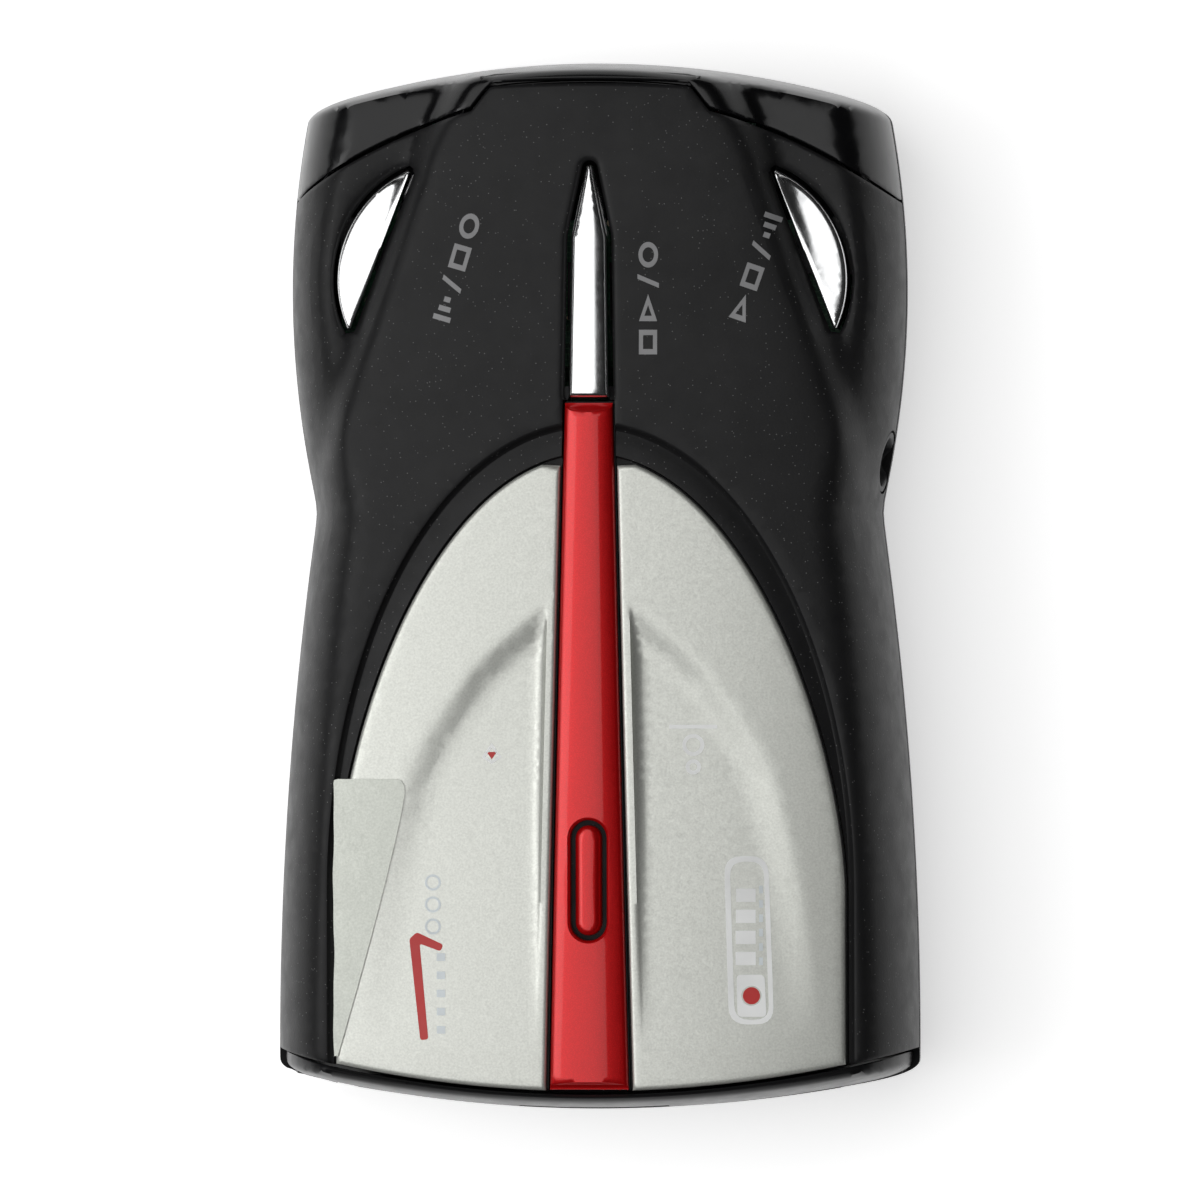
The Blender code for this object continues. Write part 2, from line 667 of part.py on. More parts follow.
def make_boards():
    right = [(28.0, -39.8), (28.0, -20.0), (26.5, 4.0), (26.5, 12.0), (27.5, 20.0), (27.5, 37.8)]
    left = [(-x, y) for x, y in reversed(right)]
    main = prism("main_board", right + left, *BOARD_Z, BOARD)
    x, y = WHEEL_AXIS
    cut(main, rod("wheel_shaft_hole", 2.5, 8.0, 11.0, (x, y, 0), sides=12))
    for side in (-1, 1):
        place = (side * BOARD_POST[0], BOARD_POST[1], 0)
        cut(main, rod(f"board_hole_{side}", 1.2, 8.0, 11.0, place, sides=8))
    box("key_board", (-26.0, 23.0, KEY_BOARD_Z[0]), (26.0, 38.5, KEY_BOARD_Z[1]), BOARD)
    box("display_board", (-17.0, 47.4, 8.5), (17.0, 48.9, 22.3), BOARD)
    box("led_display", (-11.0, 49.2, 12.5), (11.0, 51.0, 21.0), CHIP)
    box("board_connector", (-22.0, 30.0, ON_BOARD), (-10.0, 34.0, KEY_BOARD_Z[0] - GAP), CHIP)
    box("processor_chip", (-5.0, 9.0, ON_BOARD), (5.0, 19.0, 12.2), CHIP)
    box("audio_chip", (9.0, 24.0, ON_BOARD), (15.0, 29.0, 12.2), CHIP)


def make_horn():
    """Pyramidal horn antenna: narrow at the detector end, wide at the windscreen end."""

    def frustum(name, inset, front, rear, finish=None):
        s = np.array([[-1.0, 1.0], [-1.0, 1.0]])
        t = np.array([[0.0, 0.0], [1.0, 1.0]])
        y = front + (rear - front) * t
        along = (y + 50.5) / 36.5
        half = 16.0 - 10.0 * along - inset
        top = 17.8 - 4.6 * along - inset
        return slab(name, half * s, y, ON_BOARD + inset + 0 * s, top, finish)

    made = frustum("horn_antenna", 0.0, -50.5, -14.0, DIE_CAST)
    return cut(made, frustum("horn_hollow", 1.0, -56.0, -16.0))


def make_shield_can():
    made = box("rf_shield_can", (-13.0, -11.0, ON_BOARD), (13.0, 5.0, 15.2), TINNED, bevel=1.0)
    return cut(made, box("can_hollow", (-12.6, -10.6, ON_BOARD - 1), (12.6, 4.6, 14.8)))


def make_sensors():
    """Optical parts: the lens and light sensor facing forward, and the sensor facing back."""
    centre = (20.5, 0, 15.5)
    dome = [(0, -51.0), (1.8, -50.7), (3.2, -50.0), (4.0, -49.0), (4.0, -48.0), (0, -48.0)]
    turned("laser_lens", dome, centre, LENS, axis="Y", sides=16)
    made = box("front_laser_sensor", (18.0, -44.0, ON_BOARD), (23.0, -37.0, 18.5), CHIP)
    join(made, rod("sensor_nose", 2.2, -47.4, -43.5, centre, axis="Y", sides=12))
    rod("rear_laser_sensor", 2.0, 49.2, 50.8, (14.3, 0, 17.0), LENS, axis="Y", sides=12)


def make_sound():
    """Loudspeaker facing down through the grille, on its foam ring."""
    place = (0, SPEAKER_Y, 0)
    rim = [(0, 8.5), (8.0, 8.5), (8.0, 7.2), (14.0, 7.2), (14.0, 5.2), (12.4, 5.2), (5.0, 6.0), (0, 6.0)]
    turned("speaker", list(reversed(rim)), place, DIE_CAST, sides=28)
    ring = [(12.6, 4.3), (14.0, 4.3), (14.0, 4.9), (12.6, 4.9)]
    turned("speaker_gasket", ring, place, RUBBER, sides=24)


def make_jack():
    """Power inlet on the right: body, round nose through the casing, bore and centre pin."""
    made = box("power_jack", (17.5, JACK_Y - 4.5, ON_BOARD), (26.2, JACK_Y + 4.5, 19.3), CHIP)
    place = (0, JACK_Y, JACK_Z)
    join(made, rod("jack_nose", 3.05, 25.4, 29.9, place, axis="X", sides=20))
    cut(made, rod("jack_bore", 2.5, 20.5, 33.0, place, axis="X", sides=16))
    return clean(join(made, rod("jack_pin", 0.9, 20.0, 29.3, place, axis="X", sides=10)))


def make_volume():
    """Thumbwheel on the left edge, on its potentiometer."""
    x, y = WHEEL_AXIS
    r = WHEEL_RADIUS
    low, high, shaft_top, chamfer = 4.9, 8.3, 12.5, 0.4
    profile = [(0, low), (r - chamfer, low), (r, low + chamfer), (r, high - chamfer)]
    profile += [(r - chamfer, high), (2.0, high), (2.0, shaft_top), (0, shaft_top)]
    wheel = turned("volume_wheel", profile, (x, y, 0), BLACK, sides=36)
    hang_on(wheel, (x, y, 0))
    pot = box("volume_pot", (x - 2.9, y - 5.0, ON_BOARD), (x + 4.1, y + 5.0, 14.0), CHIP)
    cut(pot, rod("pot_bore", 2.4, 10.0, 13.0, (x, y, 0), sides=16))


def make_switch(name, x, y):
    """Tact switch on the key board, with its plunger free in a bore."""
    made = box(f"{name}_switch", (x - 3, y - 3, SWITCH_Z), (x + 3, y + 3, 18.5), CHIP)
    cut(made, rod(f"{name}_switch_bore", 2.0, 15.9, 19.0, (x, y, 0), sides=12))
    plunger = rod(f"{name}_plunger", 1.65, 16.7, STEM_FOOT_Z - GAP, (x, y, 0), CHIP, sides=12)
    hang_on(plunger, (x, y, 16.7))


# ---------------------------------------------------------------- fasteners, pads and labels


def screw(name, x, y, shaft, head, levels):
    """Screw standing upright. levels are the heights of its tip, its head's shoulder and its top."""
    end, shoulder, top = levels
    profile = [(0, end), (shaft, end), (shaft, shoulder), (head, shoulder), (head, top), (0, top)]
    if end > top:
        profile.reverse()
    turned(name, profile, (x, y, 0), SCREW, sides=12)


def make_fasteners():
    for k, (x, y) in enumerate(boss_places(), start=1):
        screw(f"housing_screw_{k}", x, y, 1.25, 2.5, (21.0, 7.7, 6.0))
    for k, side in enumerate((-1, 1), start=1):
        screw(f"board_screw_{k}", side * BOARD_POST[0], BOARD_POST[1], 0.85, 1.9, (5.6, ON_BOARD, 12.0))


def make_underside():
    pad_top = FLOOR_Z - GAP
    box("front_pad", (-18.0, -42.0, 0.0), (18.0, -24.0, pad_top), RUBBER, bevel=3.0)
    box("rear_pad", (-9.5, 36.5, 0.0), (9.5, 46.5, pad_top), RUBBER, bevel=2.0)
    box("rating_label", (-14.5, -16.5, 1.3), (14.5, 0.5, 1.6), LABEL, bevel=1.0)


def main():
    inlays = inlay_cutters()
    buttons = button_cutters()
    make_top_housing(inlays, buttons)
    make_bottom_housing()
    make_display_window()
    make_front_lens()
    make_panel(-1, "silver_panel_left")
    make_panel(1, "silver_panel_right")
    make_strip(buttons[-1])
    make_foil_label()
    hang_on(make_select_button(), (0, 31.0, STEM_FOOT_Z))
    hang_on(make_moon_button(-1, "set_button"), (*moon_centre(-1), STEM_FOOT_Z))
    hang_on(make_moon_button(1, "program_button"), (*moon_centre(1), STEM_FOOT_Z))
    hang_on(make_release_button(), (0, sum(RELEASE_ENDS) / 2, 27.1))
    make_bracket_channel()
    hang_on(make_latch_stirrup(), (0, sum(RELEASE_ENDS) / 2, 17.9))
    make_release_spring()
    make_boards()
    make_horn()
    make_shield_can()
    make_sensors()
    make_sound()
    make_jack()
    make_volume()
    make_switch("select", 0.0, 31.0)
    make_switch("set", *moon_centre(-1))
    make_switch("program", *moon_centre(1))
    make_fasteners()
    make_underside()


for leftover in list(bpy.data.objects):
    bpy.data.objects.remove(leftover)
main()
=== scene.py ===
"""Looks of the windscreen radar detector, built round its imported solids.

Frame: +Z up, +Y towards the driver, -Y towards the windscreen. The numbers are millimetres.
"""

import math

import bmesh
import bpy
import numpy as np
from mathutils import Matrix, Vector
from mathutils.geometry import delaunay_2d_cdt


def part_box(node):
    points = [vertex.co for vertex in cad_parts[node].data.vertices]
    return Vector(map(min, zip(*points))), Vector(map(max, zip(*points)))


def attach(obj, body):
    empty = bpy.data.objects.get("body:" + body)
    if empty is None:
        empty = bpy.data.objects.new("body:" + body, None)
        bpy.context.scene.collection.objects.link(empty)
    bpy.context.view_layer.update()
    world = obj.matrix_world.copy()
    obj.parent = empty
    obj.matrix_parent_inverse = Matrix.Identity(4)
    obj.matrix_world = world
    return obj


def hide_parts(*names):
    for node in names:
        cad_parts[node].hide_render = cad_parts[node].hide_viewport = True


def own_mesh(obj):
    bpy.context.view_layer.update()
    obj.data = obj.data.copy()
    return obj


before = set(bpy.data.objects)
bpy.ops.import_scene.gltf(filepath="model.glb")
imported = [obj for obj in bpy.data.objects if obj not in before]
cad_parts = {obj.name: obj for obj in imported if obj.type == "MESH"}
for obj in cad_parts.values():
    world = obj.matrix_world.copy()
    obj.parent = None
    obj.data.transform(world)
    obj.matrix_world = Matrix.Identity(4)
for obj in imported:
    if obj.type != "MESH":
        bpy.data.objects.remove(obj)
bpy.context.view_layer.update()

MM = 0.001
NEAREST = 0.001  # points closer than this in the plan are one
ROOT = "body"
PARTING_Z = 12.0
SEAM_Z = 12.1
TUB_RIM_Z = 11.7
FLOOR_Z = 1.6
SIDE_ROUND, REAR_ROUND, FRONT_ROUND = 6.0, 1.6, 1.5
CORNER_POWER = 3.0
STRIP_ENDS = (-52.6, 19.1)
SELECT_ENDS = (19.7, 44.0)
SELECT_SHOULDER_Y = 36.5
MOON_START, MOON_END, MOON_RISE = (18.9, 43.7), (25.5, 26.5), 4.0
RELEASE_ENDS = (-36.5, -25.0)
RELEASE_HALF = 1.35
RELEASE_GAP = 0.55
MOAT = 0.45
COVER_SCALE = 0.98  # the antenna cover is this much narrower than the casing
ARCH_FOOT_Y = -32.0  # in front of it the arches' sides run straight
VALLEY_HALF, VALLEY_RISE = 27.4, 48.8
PANEL_HALF, PANEL_RISE, PANEL_POWER = 26.7, 45.6, 1.62
PANEL_APEX_Y = 13.0
PANEL_SINK = 0.1
RAIL_WIDTH = 0.95
WINDOW_GAP, COVER_GAP = 0.15, 0.25
WHEEL_AXIS, WHEEL_RADIUS = (-24.0, 15.0), 7.0
INLET, INLET_BORE = (0, 13.0, 15.6), 2.5
SHARP = 38.0  # degrees: steeper edges aren't smoothed
SPEAKER_Y, GRILLE_PITCH = 20.0, 3.1
SCREW_PLACES = [(-14.5, 42.0), (14.5, 42.0), (-27.0, -44.0), (27.0, -44.0)]

# --- the body's surface


def smooth_max(a, b, k):
    return (a + b + np.sqrt((a - b) ** 2 + k * k)) / 2


def half_width(y):
    hull = 33.75 - 0.00129 * (y + 48.0) ** 2
    rear_block = 32.4 - 0.0051 * (y - 31.0) ** 2
    return smooth_max(hull, rear_block, 0.35)


def rear_line(x):
    return 55.0 - 0.00518 * x * x


def front_line(x):
    return -55.0 + 0.00345 * x * x


def casing_front(x):
    return -52.9 + 0.0039 * x * x


def window_edge(x):
    arc = 51.5 - 0.0109 * x * x
    tongue = 52.7 - 0.003 * x * x
    blend = np.clip((12.4 - np.abs(x)) / 2.0, 0, 1)
    return arc + (tongue - arc) * blend


def ridge(y):
    return 28.1 - 0.32 * (y - 10.1) - 0.012 * np.maximum(y - 40.0, 0) ** 2


def crown_height(x, y):
    past = np.abs(x) - ridge(y)
    drop = 1.15 * (past + np.sqrt(past * past + 0.8)) / 2
    hull = 31.0 - 0.0006 * (y + 8.0) ** 2 - 0.0035 * x * x - drop
    wing = 25.6 - 0.0015 * (y - 25.0) ** 2 - 0.004 * np.maximum(np.abs(x) - 18.0, 0) ** 2
    return smooth_max(hull, wing, 0.8)


def edge_ratio(x, y):
    side = 1 - (half_width(y) - np.abs(x)) / SIDE_ROUND
    rear = 1 - (rear_line(x) - y) / REAR_ROUND
    front = 1 - (y - front_line(x)) / FRONT_ROUND
    side, rear, front = (np.clip(v, 0, None) for v in (side, rear, front))
    return (side**CORNER_POWER + rear**CORNER_POWER + front**CORNER_POWER) ** (1 / CORNER_POWER)


def roundover(x, y):
    return np.sqrt(1 - np.clip(edge_ratio(x, y), 0, 1) ** 2)


def skin_height(x, y):
    return PARTING_Z + (crown_height(x, y) - PARTING_Z) * roundover(x, y)


def belly_height(x, y):
    return PARTING_Z - (PARTING_Z - FLOOR_Z) * roundover(x, y)


# --- plan outlines


def valley_gap(x, y):
    """Distance outside the rim of the sunken arch, negative inside it."""
    across, along = x / VALLEY_HALF, np.maximum(y - ARCH_FOOT_Y, 0) / VALLEY_RISE
    reach = np.sqrt(across**2 + along**2) + 1e-9
    slope = np.sqrt((across / VALLEY_HALF) ** 2 + (along / VALLEY_RISE) ** 2 + 1e-12)
    return (reach - 1) * reach / slope


def panel_outer(y):
    along = np.maximum(y - ARCH_FOOT_Y, 0) / PANEL_RISE
    return PANEL_HALF * np.sqrt(np.clip(1 - along**PANEL_POWER, 0, 1))


def panel_gap(x, y):
    """Distance outside the panels' pointed arch, negative inside it."""
    along = np.maximum(y - ARCH_FOOT_Y, 0) / PANEL_RISE
    reach = (x / PANEL_HALF) ** 2 + along**PANEL_POWER
    steep = PANEL_POWER * along**0.62 / PANEL_RISE
    slope = np.sqrt((2 * x / PANEL_HALF**2) ** 2 + steep**2 + 1e-9)
    return (reach - 1) / slope


def panel_inner(y):
    return 3.0 + 0.0245 * (11.7 - y)


def strip_half(y):
    return 2.45 + 0.0225 * (16.4 - y)


def trim_half(y):
    """Half the width of the strip's visible cap."""
    return strip_half(y) + 0.1


def select_half(y):
    body = 1.85 + 0.015 * (SELECT_SHOULDER_Y - y)
    tip = 0.25 + 1.6 * (SELECT_ENDS[1] - y) / (SELECT_ENDS[1] - SELECT_SHOULDER_Y)
    return np.minimum(body, tip)


def pairs(x, y):
    return np.stack([x, y], 1)


def body_ring(ratio, corner_steps=14, side_steps=90, end_steps=50):
    """Plan loop of the body where its rounded border has come this far down, 1 at its outline."""
    power = 2 / CORNER_POWER
    turn = np.linspace(0, math.pi / 2, corner_steps)
    rho_side, rho_end = ratio * np.cos(turn) ** power, ratio * np.sin(turn) ** power

    def corner(side, end):
        x = np.full_like(turn, side * 27.0)
        y = np.full_like(turn, 40.0 * end)
        for _ in range(12):
            if end > 0:
                y = rear_line(x) - REAR_ROUND * (1 - rho_end)
            else:
                y = front_line(x) + FRONT_ROUND * (1 - rho_end)
            x = side * (half_width(y) - SIDE_ROUND * (1 - rho_side))
        return pairs(x, y)

    rear_right, rear_left = corner(1, 1), corner(-1, 1)[::-1]
    front_left, front_right = corner(-1, -1), corner(1, -1)[::-1]

    def along_end(a, b, line, shift):
        x = np.linspace(a[0], b[0], end_steps)[1:-1]
        return pairs(x, line(x) + shift)

    def along_side(a, b, side):
        y = np.linspace(a[1], b[1], side_steps)[1:-1]
        return pairs(side * (half_width(y) - SIDE_ROUND * (1 - ratio)), y)

    rear = along_end(rear_right[-1], rear_left[0], rear_line, -REAR_ROUND * (1 - ratio))
    left = along_side(rear_left[-1], front_left[0], -1)
    front = along_end(front_left[-1], front_right[0], front_line, FRONT_ROUND * (1 - ratio))
    right = along_side(front_right[-1], rear_right[0], 1)
    return np.concatenate([rear_right, rear, rear_left, left, front_left, front, front_right, right])


def pushed(points, normal, distance, least=0.0):
    """The points moved this far along these directions."""
    return points + normal / (np.linalg.norm(normal, axis=1)[:, None] + least) * distance


def grown(loop, distance):
    """The loop moved outwards. It runs anticlockwise."""
    step = np.roll(loop, -1, 0) - np.roll(loop, 1, 0)
    return pushed(loop, np.stack([step[:, 1], -step[:, 0]], 1), distance, 1e-12)


def evenly(loop, pitch):
    """The closed loop with points at about this spacing, keeping its corners."""
    points = []
    for a, b in zip(loop, np.roll(loop, -1, 0)):
        count = max(1, int(np.linalg.norm(b - a) / pitch))
        points += [a + (b - a) * k / count for k in range(count)]
    return np.array(points)


def spun(loop, angle):
    cos, sin = math.cos(angle), math.sin(angle)
    return np.asarray(loop) @ np.array([[cos, sin], [-sin, cos]])


def stadium(centre, half, length, steps=16, turn=0.0):
    """Slot with round ends, along +Y before it is turned."""
    reach = length / 2 - half
    angles = np.linspace(0, math.pi, steps)
    top = pairs(half * np.cos(angles), reach + half * np.sin(angles))
    return spun(np.concatenate([top, -top]), turn) + np.array(centre)


def rounded(corners, radius, steps=6):
    """Polygon with rounded corners, anticlockwise."""
    corners = np.array(corners, float)
    points = []
    for before, here, after in zip(np.roll(corners, 1, 0), corners, np.roll(corners, -1, 0)):
        to_before, to_after = before - here, after - here
        a = here + to_before / np.linalg.norm(to_before) * radius
        b = here + to_after / np.linalg.norm(to_after) * radius
        for t in np.linspace(0, 1, steps):
            points.append(a * (1 - t) ** 2 + 2 * here * t * (1 - t) + b * t * t)
    return np.array(points)


def select_loop():
    """Pencil-shaped key: a straight end, a long body and a narrow tip."""
    low, high = SELECT_ENDS
    right = [(2.1, low), (1.85, SELECT_SHOULDER_Y), (0.29, high)]
    left = [(-x, y) for x, y in reversed(right)]
    return rounded([left[2], *right, *left[:2]], 0.28)


def moon_loop(side):
    start, end = np.array(MOON_START), np.array(MOON_END)
    length = np.linalg.norm(end - start)
    along = (end - start) / length
    across = np.array([-along[1], along[0]])
    radius = (length**2 / 4 + MOON_RISE**2) / (2 * MOON_RISE)
    t = np.linspace(0.3, length - 0.3, 40)
    bow = np.sqrt(radius**2 - (t - length / 2) ** 2) - (radius - MOON_RISE)
    arc = start + along * t[:, None] + across * bow[:, None]
    chord = start + along * np.linspace(length - 0.55, 0.55, 24)[:, None]
    loop = np.concatenate([arc, chord])
    return loop if side > 0 else (loop * [-1, 1])[::-1]


def wound(loop):
    """The loop, anticlockwise."""
    x, y = loop[:, 0], loop[:, 1]
    area = np.sum(x * np.roll(y, -1) - np.roll(x, -1) * y)
    return loop if area > 0 else loop[::-1]


# --- plates over the plan


def line_distance(x, y, line, closed=True):
    """Distance of each point from a line of points."""
    best = np.full(np.shape(x), 1e9)
    ends = zip(line, np.roll(line, -1, 0)) if closed else zip(line[:-1], line[1:])
    for a, b in ends:
        step = b - a
        t = ((x - a[0]) * step[0] + (y - a[1]) * step[1]) / max(step @ step, 1e-12)
        t = np.clip(t, 0, 1)
        best = np.minimum(best, np.hypot(x - a[0] - t * step[0], y - a[1] - t * step[1]))
    return best


def inside(x, y, loop):
    found = np.zeros(np.shape(x), bool)
    for a, b in zip(loop, np.roll(loop, -1, 0)):
        if a[1] == b[1]:
            continue
        crosses = (a[1] > y) != (b[1] > y)
        found ^= crosses & (x < a[0] + (y - a[1]) * (b[0] - a[0]) / (b[1] - a[1]))
    return found


def gap_from(x, y, loop):
    """Distance outside a closed loop, negative inside it."""
    return line_distance(x, y, loop) * np.where(inside(x, y, loop), -1, 1)


def plan_mesh(lines, keep, pitch, box):
    """Points and triangles of the part of the plan that keep() accepts, following every line."""
    points, edges = [], []
    for line, closed in lines:
        first = len(points)
        points += [tuple(p) for p in line]
        count = len(line)
        last = count if closed else count - 1
        edges += [(first + k, first + (k + 1) % count) for k in range(last)]
    x0, y0, x1, y1 = box
    rows = []
    for k, y in enumerate(np.arange(y0, y1, pitch * 0.87)):
        row = np.arange(x0 + (k % 2) * pitch / 2, x1, pitch)
        rows.append(pairs(row, np.full_like(row, y)))
    grid = np.concatenate(rows)
    grid = grid[keep(grid[:, 0], grid[:, 1])]
    if len(grid) and points:
        cells = {}
        for a, b in edges:
            a, b = np.array(points[a]), np.array(points[b])
            for t in np.linspace(0, 1, 2 + int(np.linalg.norm(b - a) / (pitch * 0.5))):
                spot = (a + (b - a) * t) / (pitch * 0.5)
                cells[(round(spot[0]), round(spot[1]))] = True
        spots = np.round(grid / (pitch * 0.5)).astype(int)
        grid = grid[[(i, j) not in cells for i, j in spots.tolist()]]
    points += [tuple(p) for p in grid]
    found = delaunay_2d_cdt([Vector(p) for p in points], edges, [], 0, NEAREST)
    flat = np.array([tuple(p) for p in found[0]])
    faces = np.array(found[2])
    middle = flat[faces].mean(1)
    faces = faces[keep(middle[:, 0], middle[:, 1])]
    a, b, c = flat[faces[:, 0]], flat[faces[:, 1]], flat[faces[:, 2]]
    area = (b[:, 0] - a[:, 0]) * (c[:, 1] - a[:, 1]) - (c[:, 0] - a[:, 0]) * (b[:, 1] - a[:, 1])
    faces[area < 0] = faces[area < 0][:, ::-1]
    faces = faces[np.abs(area) > 1e-10]
    used, index = np.unique(faces, return_inverse=True)
    return flat[used], index.reshape(faces.shape)


def placed(name, data):
    made = bpy.data.objects.new(name, data)
    bpy.context.scene.collection.objects.link(made)
    return made


def shown(name, mesh, finish, sharp=SHARP):
    """The mesh as an object with its finish, smooth but for its sharp edges."""
    mesh.materials.append(finish)
    mesh.shade_smooth()
    mesh.set_sharp_from_angle(angle=math.radians(sharp))
    return placed(name, mesh)


def new_piece(name, points, faces, finish, sharp=SHARP):
    mesh = bpy.data.meshes.new(name)
    mesh.from_pydata((np.asarray(points) * MM).tolist(), [], [list(map(int, f)) for f in faces])
    mesh.validate()
    return shown(name, mesh, finish, sharp)


def sheet_piece(name, flat, faces, height, finish, wall):
    """Open skin over the plan, given its wall by Solidify. height gives the outer side."""
    z = height(flat[:, 0], flat[:, 1])
    made = new_piece(name, np.column_stack([flat, z]), faces, finish)
    step = made.modifiers.new("wall", "SOLIDIFY")
    step.thickness = wall * MM
    step.offset = -1
    return settle(made)


def closed_piece(name, flat, faces, high, low, finish, sharp=SHARP):
    """Closed solid between the heights high and low over a plan mesh."""
    x, y = flat[:, 0], flat[:, 1]
    top, bottom = (h(x, y) if callable(h) else np.full(len(x), float(h)) for h in (high, low))
    count = len(flat)
    sides = np.concatenate([faces[:, [0, 1]], faces[:, [1, 2]], faces[:, [2, 0]]])
    known = set(map(tuple, sides.tolist()))
    rim = [(a, b) for a, b in known if (b, a) not in known]
    walls = [(b, a, a + count, b + count) for a, b in rim]
    points = np.concatenate([np.column_stack([flat, top]), np.column_stack([flat, bottom])])
    under = (faces[:, ::-1] + count).tolist()
    return new_piece(name, points, faces.tolist() + under + walls, finish, sharp)


def settle(made):
    """The object with its modifiers made part of its mesh."""
    graph = bpy.context.evaluated_depsgraph_get()
    mesh = bpy.data.meshes.new_from_object(made.evaluated_get(graph))
    made.modifiers.clear()
    made.data = mesh
    return made


def bored(made, *tools):
    """The object with each tool's shape cut out of it, and the tools thrown away."""
    for tool in tools:
        step = made.modifiers.new("bore", "BOOLEAN")
        step.operation, step.solver, step.object = "DIFFERENCE", "EXACT", tool
    settle(made)
    for tool in tools:
        bpy.data.objects.remove(tool)
    made.data.set_sharp_from_angle(angle=math.radians(SHARP))
    return made


def block(name, low, high, finish, bevel=0.0):
    bm = bmesh.new()
    bmesh.ops.create_cube(bm, size=1.0)
    low, high = Vector(low), Vector(high)
    bmesh.ops.scale(bm, vec=high - low, verts=bm.verts)
    bmesh.ops.translate(bm, vec=(low + high) / 2, verts=bm.verts)
    if bevel:
        bmesh.ops.bevel(bm, geom=bm.edges[:], offset=bevel, segments=3, affect="EDGES", profile=0.5)
    return from_bmesh(name, bm, finish)


def from_bmesh(name, bm, finish):
    bmesh.ops.recalc_face_normals(bm, faces=bm.faces)
    bmesh.ops.scale(bm, vec=(MM, MM, MM), verts=bm.verts)
    mesh = bpy.data.meshes.new(name)
    bm.to_mesh(mesh)
    bm.free()
    return shown(name, mesh, finish)


def turned(name, profile, centre, finish, lying=False, sides=48):
    """Solid of revolution from (radius, height) points, upright or lying along +X."""
    bm = bmesh.new()
    verts = [bm.verts.new((radius, 0, height)) for radius, height in profile]
    closing = verts[:1] if profile[0][0] > 0 else []
    edges = [bm.edges.new(pair) for pair in zip(verts, verts[1:] + closing)]
    way = {"cent": (0, 0, 0), "axis": (0, 0, 1), "angle": math.tau, "steps": sides}
    bmesh.ops.spin(bm, geom=verts + edges, **way)
    bmesh.ops.remove_doubles(bm, verts=bm.verts, dist=1e-4)
    if lying:
        quarter = Matrix.Rotation(math.pi / 2, 3, "Y")
        bmesh.ops.rotate(bm, cent=(0, 0, 0), matrix=quarter, verts=bm.verts)
    bmesh.ops.translate(bm, vec=centre, verts=bm.verts)
    return from_bmesh(name, bm, finish)


# --- finishes


class Nodes:
    """Something with a node tree, built step by step."""

    def node(self, kind, links=None, **settings):
        """A node with these settings, its inputs linked to sockets or set to values."""
        made = self.tree.nodes.new(kind)
        for name, value in settings.items():
            setattr(made, name, value)
        for socket, source in (links or {}).items():
            if isinstance(source, bpy.types.NodeSocket):
                self.tree.links.new(source, made.inputs[socket])
            else:
                made.inputs[socket].default_value = source
        return made

    def result(self, kind, links=None, **settings):
        return self.node(kind, links, **settings).outputs[0]


class Finish(Nodes):
    """A material."""

    def __init__(self, name, colour, roughness, metallic=0.0, **sockets):
        self.material = bpy.data.materials.new(name)
        self.material.use_nodes = True
        self.tree = self.material.node_tree
        self.shader = self.tree.nodes["Principled BSDF"]
        values = {"Base Color": (*colour, 1.0), "Roughness": roughness, "Metallic": metallic, **sockets}
        for socket, value in values.items():
            self.shader.inputs[socket].default_value = value
        self.place = self.node("ShaderNodeTexCoord").outputs["Object"]

    def noise(self, scale_mm, detail):
        links = {"Vector": self.place, "Scale": 1 / (scale_mm * MM)}
        links |= {"Detail": detail, "Roughness": 0.55}
        return self.node("ShaderNodeTexNoise", links).outputs["Fac"]

    def cells(self, scale_mm):
        links = {"Vector": self.place, "Scale": 1 / (scale_mm * MM)}
        return self.node("ShaderNodeTexVoronoi", links).outputs["Distance"]

    def ramp(self, source, low, high):
        """Numbers from a source, from one (position, value) stop to another."""
        links = {"Value": source, "From Min": low[0], "From Max": high[0]}
        links |= {"To Min": low[1], "To Max": high[1]}
        return self.result("ShaderNodeMapRange", links, clamp=True)

    def mix(self, factor, first, second):
        return self.node("ShaderNodeMix", {0: factor, 6: first, 7: second}, data_type="RGBA").outputs[2]

    def drive(self, socket, source):
        self.tree.links.new(source, self.shader.inputs[socket])

    def bump(self, source, depth_mm):
        links = {"Height": source, "Distance": depth_mm * MM, "Strength": 1.0}
        self.drive("Normal", self.result("ShaderNodeBump", links))


def shade(colour, factor):
    return (*(min(1.0, c * factor) for c in colour), 1.0)


def moulded(name, colour, roughness, grain_mm=0.35, depth=0.02, fleck=0.0, **sockets):
    """Moulded or painted plastic: fine grain, faint cloudiness and, if asked, bright flecks."""
    made = Finish(name, colour, roughness, **sockets)
    cloud = made.ramp(made.noise(9.0, 2.0), (0.3, 0.0), (0.7, 1.0))
    base = made.mix(cloud, shade(colour, 0.9), shade(colour, 1.1))
    if fleck:
        specks = made.ramp(made.cells(0.6), (0.13, 0.0), (0.05, 1.0))
        base = made.mix(specks, base, (fleck, fleck, fleck, 1))
    made.drive("Base Color", base)
    patches = (0.3, roughness * 0.88), (0.7, min(1, roughness * 1.12))
    made.drive("Roughness", made.ramp(made.noise(2.5, 3.0), *patches))
    made.bump(made.noise(grain_mm, 2.0), depth)
    return made.material


def metal(name, colour, roughness, grain_mm=0.4, depth=0.004):
    made = Finish(name, colour, roughness, 1.0)
    cloud = made.ramp(made.noise(6.0, 3.0), (0.3, 0.0), (0.7, 1.0))
    made.drive("Base Color", made.mix(cloud, shade(colour, 0.93), shade(colour, 1.05)))
    patches = (0.3, roughness * 0.8), (0.7, roughness * 1.25)
    made.drive("Roughness", made.ramp(made.noise(1.2, 3.0), *patches))
    made.bump(made.noise(grain_mm, 2.0), depth)
    return made.material


